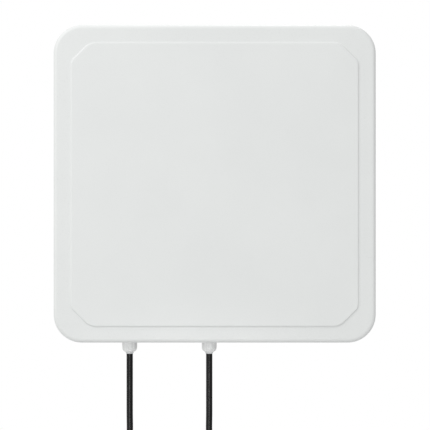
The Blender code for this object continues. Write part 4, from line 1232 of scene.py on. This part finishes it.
def make_shield():
    """A folded tin can over the radio: a lid with rows of holes, snapped on a frame."""
    low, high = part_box("rf_shield")
    (x, z), size = face_of("rf_shield")
    front, back, sheet, soft = low[1], high[1], 0.0004, 0.0008
    levels = ((soft, front), (0.3 * soft, front + 0.3 * soft), (0, front + soft), (0, front + 0.005))
    levels += ((sheet, front + 0.005), (sheet, back), (2 * sheet, back), (2 * sheet, front + sheet))
    can = new_object("shield_can", shape(add_loft, block_loops((x, z), size, 0.003, levels, 5)))
    places = [(x + (k - 4.5) * 0.0075, z + (row - 2) * 0.009) for k in range(10) for row in range(5)]
    carve(can, shape(add_pins, places, front - 0.001, column(0.0011, 0.003), 16, AXIS_Y))
    adopt(can, "shield_tin", "rf_shield", sharp=30)


def make_terminals():
    """The power lead's screw terminals."""
    ways = 3
    low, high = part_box("terminal_block")
    pitch, middle = (high[0] - low[0]) / ways, (low[2] + high[2]) / 2
    places = [(low[0] + (k + 0.5) * pitch, middle) for k in range(ways)]
    block = soft_box("screw_terminal", low, high, 0.0006)
    cuts = bmesh.new()
    for k, place in enumerate(places):
        add_pins(cuts, [place], low[1] - 0.001, column(0.0032, 0.005), 28, AXIS_Y)
        if k:
            edge = low[0] + k * pitch
            add_box(cuts, near((edge, *low[1:]), -0.3, -1, -1), near((edge, low[1], high[2]), 0.3, 2, 1))
    carve(block, cuts)
    adopt(block, "terminal_plastic", "terminal_block")
    head = mm([(0, 2.4), (2.4, 2.4), (2.8, 2), (2.8, 0), (0, 0)])
    for number, (x, z) in enumerate(places, 1):
        place = Vector((x, low[1] + 0.0036, z))
        screw = new_object(f"terminal_screw_{number}", shape(add_turned, head, place, -AXIS_Y, 28))
        ends = [place + Vector(corner) for corner in ((-0.004, -0.003, -0.0003), (0.004, -0.0014, 0.0003))]
        carve(screw, shape(add_box, *ends))
        adopt(screw, "zinc_steel")


def make_data_socket():
    """The data lead's shielded socket, with two spring tongues cut in its front."""
    low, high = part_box("data_socket")
    socket = soft_box("data_jack", low, high, 0.0005)
    tongue = mm([(-1.8, 3), (-1.4, 3), (-1.4, 11), (1.4, 11), (1.4, 3), (1.8, 3), (1.8, 11.4), (-1.8, 11.4)])
    cuts = bmesh.new()
    for aside in (-0.0045, 0.0045):
        outline = shifted(tongue, (low[0] + high[0]) / 2 + aside, low[2])
        add_plate(cuts, outline, low[1] + 0.0005, low[1] - 0.001)
    carve(socket, cuts)
    adopt(socket, "shield_tin", "data_socket")


def h_outline(bar, arm, cross, reach):
    """An H in (x, z): two uprights of half width arm, at bar each side, and a cross bar."""
    right = [(bar - arm, -cross), (bar - arm, -reach), (bar + arm, -reach), (bar + arm, reach)]
    right += [(bar - arm, reach), (bar - arm, cross)]
    return right + [(-x, -z) for x, z in right]


def make_feed_board():
    """An H of printed board with a raised track, and a soldered pin under each patch."""
    low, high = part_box("feed_board")
    back, arm, proud = high[1], 0.01, 0.0001
    face, bar = back - 0.0016, high[0] - arm
    board = new_object("feed_pcb", shape(add_plate, h_outline(bar, arm, 0.012, high[2]), back, face))
    soften(board, 0.0003, 1)
    adopt(board, "circuit_board", "feed_board")
    pin_z = face_of("patch_post_2")[0][1]
    track = h_outline(bar, 0.0016, 0.0016, pin_z + 0.0035)
    piece("feed_track", shape(add_plate, track, face + proud, face - proud), "zinc_steel")
    pin = mm([(0, 0.1), (3, 0.1), (2.2, 0.5), (1.7, 1.2), (1.5, 2.2)])
    pin += mm([(1.5, -0.3), (1.2, 0), (0, 0)], face - low[1])
    for number, (x, z) in enumerate(corners(bar, pin_z), 1):
        turned_piece(f"feed_pin_{number}", pin, (x, face - proud, z), -AXIS_Y, "zinc_steel", segments=24)


# The pieces that stay as the CAD made them.
def dress_cad_nodes():
    finishes = {
        "perimeter_gasket": "gasket_rubber",
        "ground_plane": "antenna_aluminium",
        "antenna_jumper": "lead_sheath",
        "power_lead_inner": "lead_sheath",
        "data_lead_inner": "lead_sheath",
    }
    for number in range(1, 5):
        finishes[f"patch_radiator_{number}"] = "antenna_aluminium"
        finishes[f"patch_post_{number}"] = "spacer_nylon"
    for node, slot in finishes.items():
        mesh = frame["nodes"][node].data
        mesh.materials.clear()
        mesh.materials.append(MATERIALS[slot])


# Light and floor.
def make_world():
    """White to the camera; to every surface, a soft sky that is brightest above, left and in front."""
    world = bpy.data.worlds.new("studio")
    world.use_nodes = True
    tree = world.node_tree
    tree.nodes.clear()
    place = add_node(tree, "TexCoord", {}).outputs["Generated"]
    aim = add_node(tree, "VectorMath", {0: place, 1: SKY_SIDE}, operation="DOT_PRODUCT").outputs["Value"]
    inputs = {"Value": aim, **from_to(-1.0, 1.0, SKY_DARK, SKY_BRIGHT)}
    ramp = add_node(tree, "MapRange", inputs, interpolation_type="SMOOTHSTEP").outputs["Result"]
    soft = add_node(tree, "Background", {"Color": SKY_TINT, "Strength": ramp}).outputs["Background"]
    seen = add_node(tree, "Background", {"Color": (1, 1, 1, 1)}).outputs["Background"]
    camera = add_node(tree, "LightPath", {}).outputs["Is Camera Ray"]
    mixed = add_node(tree, "MixShader", {"Fac": camera, 1: soft, 2: seen}).outputs["Shader"]
    add_node(tree, "OutputWorld", {"Surface": mixed})
    bpy.context.scene.world = world


def make_lamp(name, place, target, size, power, spread):
    data = bpy.data.lights.new(name, "AREA")
    data.shape = "DISK"
    data.size = size
    data.energy = power
    data.spread = math.radians(spread)
    lamp = linked_object(name, data)
    lamp.visible_camera = False
    lamp.location = place
    lamp.rotation_euler = (Vector(target) - Vector(place)).to_track_quat("-Z", "Y").to_euler()


def make_floor():
    """A pale round floor below the leads, which fades out at its edge."""
    radius, level = FLOOR_RADIUS, cad_low[2] - FLOOR_DROP
    bm = bmesh.new()
    rings = []
    for reach in (radius, 0.75 * radius, 0.4 * radius, 0.1 * radius):
        circle = corner_arc((0, 0), reach, 0, 2 * math.pi, 96)[:-1]
        rings.append([bm.verts.new((x, y, level)) for x, y in circle])
    for one, two in zip(rings, rings[1:]):
        bridge(bm, one, two)
    bm.faces.new(rings[-1])
    floor = new_object("floor", bm)
    floor.data.flip_normals()
    made = Surface("floor")
    made.shader.inputs["Base Color"].default_value = (0.62, 0.62, 0.62, 1)
    made.roughness(made.patches((6, 4), 0.3, 0.7, 0.62, 0.72))
    made.relief(made.noise(90, 4), 0.0003, 0.3)
    flat = made.add("VectorMath", "Vector", {0: made.place, 1: (1, 1, 0)}, operation="MULTIPLY")
    away = made.add("VectorMath", "Value", {0: flat}, operation="LENGTH")
    fade = made.remap(away, 0.55 * radius, 0.97 * radius, 1, 0)
    upper = made.math("SUBTRACT", 1.0, made.add("NewGeometry", "Backfacing", {}))
    made.drive("Alpha", made.math("MULTIPLY", fade, upper))
    floor.data.materials.append(made.material)


make_camera()
for lead_name, lead_side in LEADS.items():
    make_lead(lead_name, lead_side)
    make_gland(lead_name)
make_radome()
make_housing()
make_cover_screws()
make_vent()
make_wall_bracket()
make_panel_bracket()
make_fasteners()
make_reader_board()
make_chips()
make_board_parts()
make_shield()
make_terminals()
make_data_socket()
make_feed_board()
dress_cad_nodes()
make_world()
for lamp_name, lamp in LAMPS.items():
    make_lamp(lamp_name, *lamp)
make_floor()
bpy.context.scene.view_settings.view_transform = "Standard"
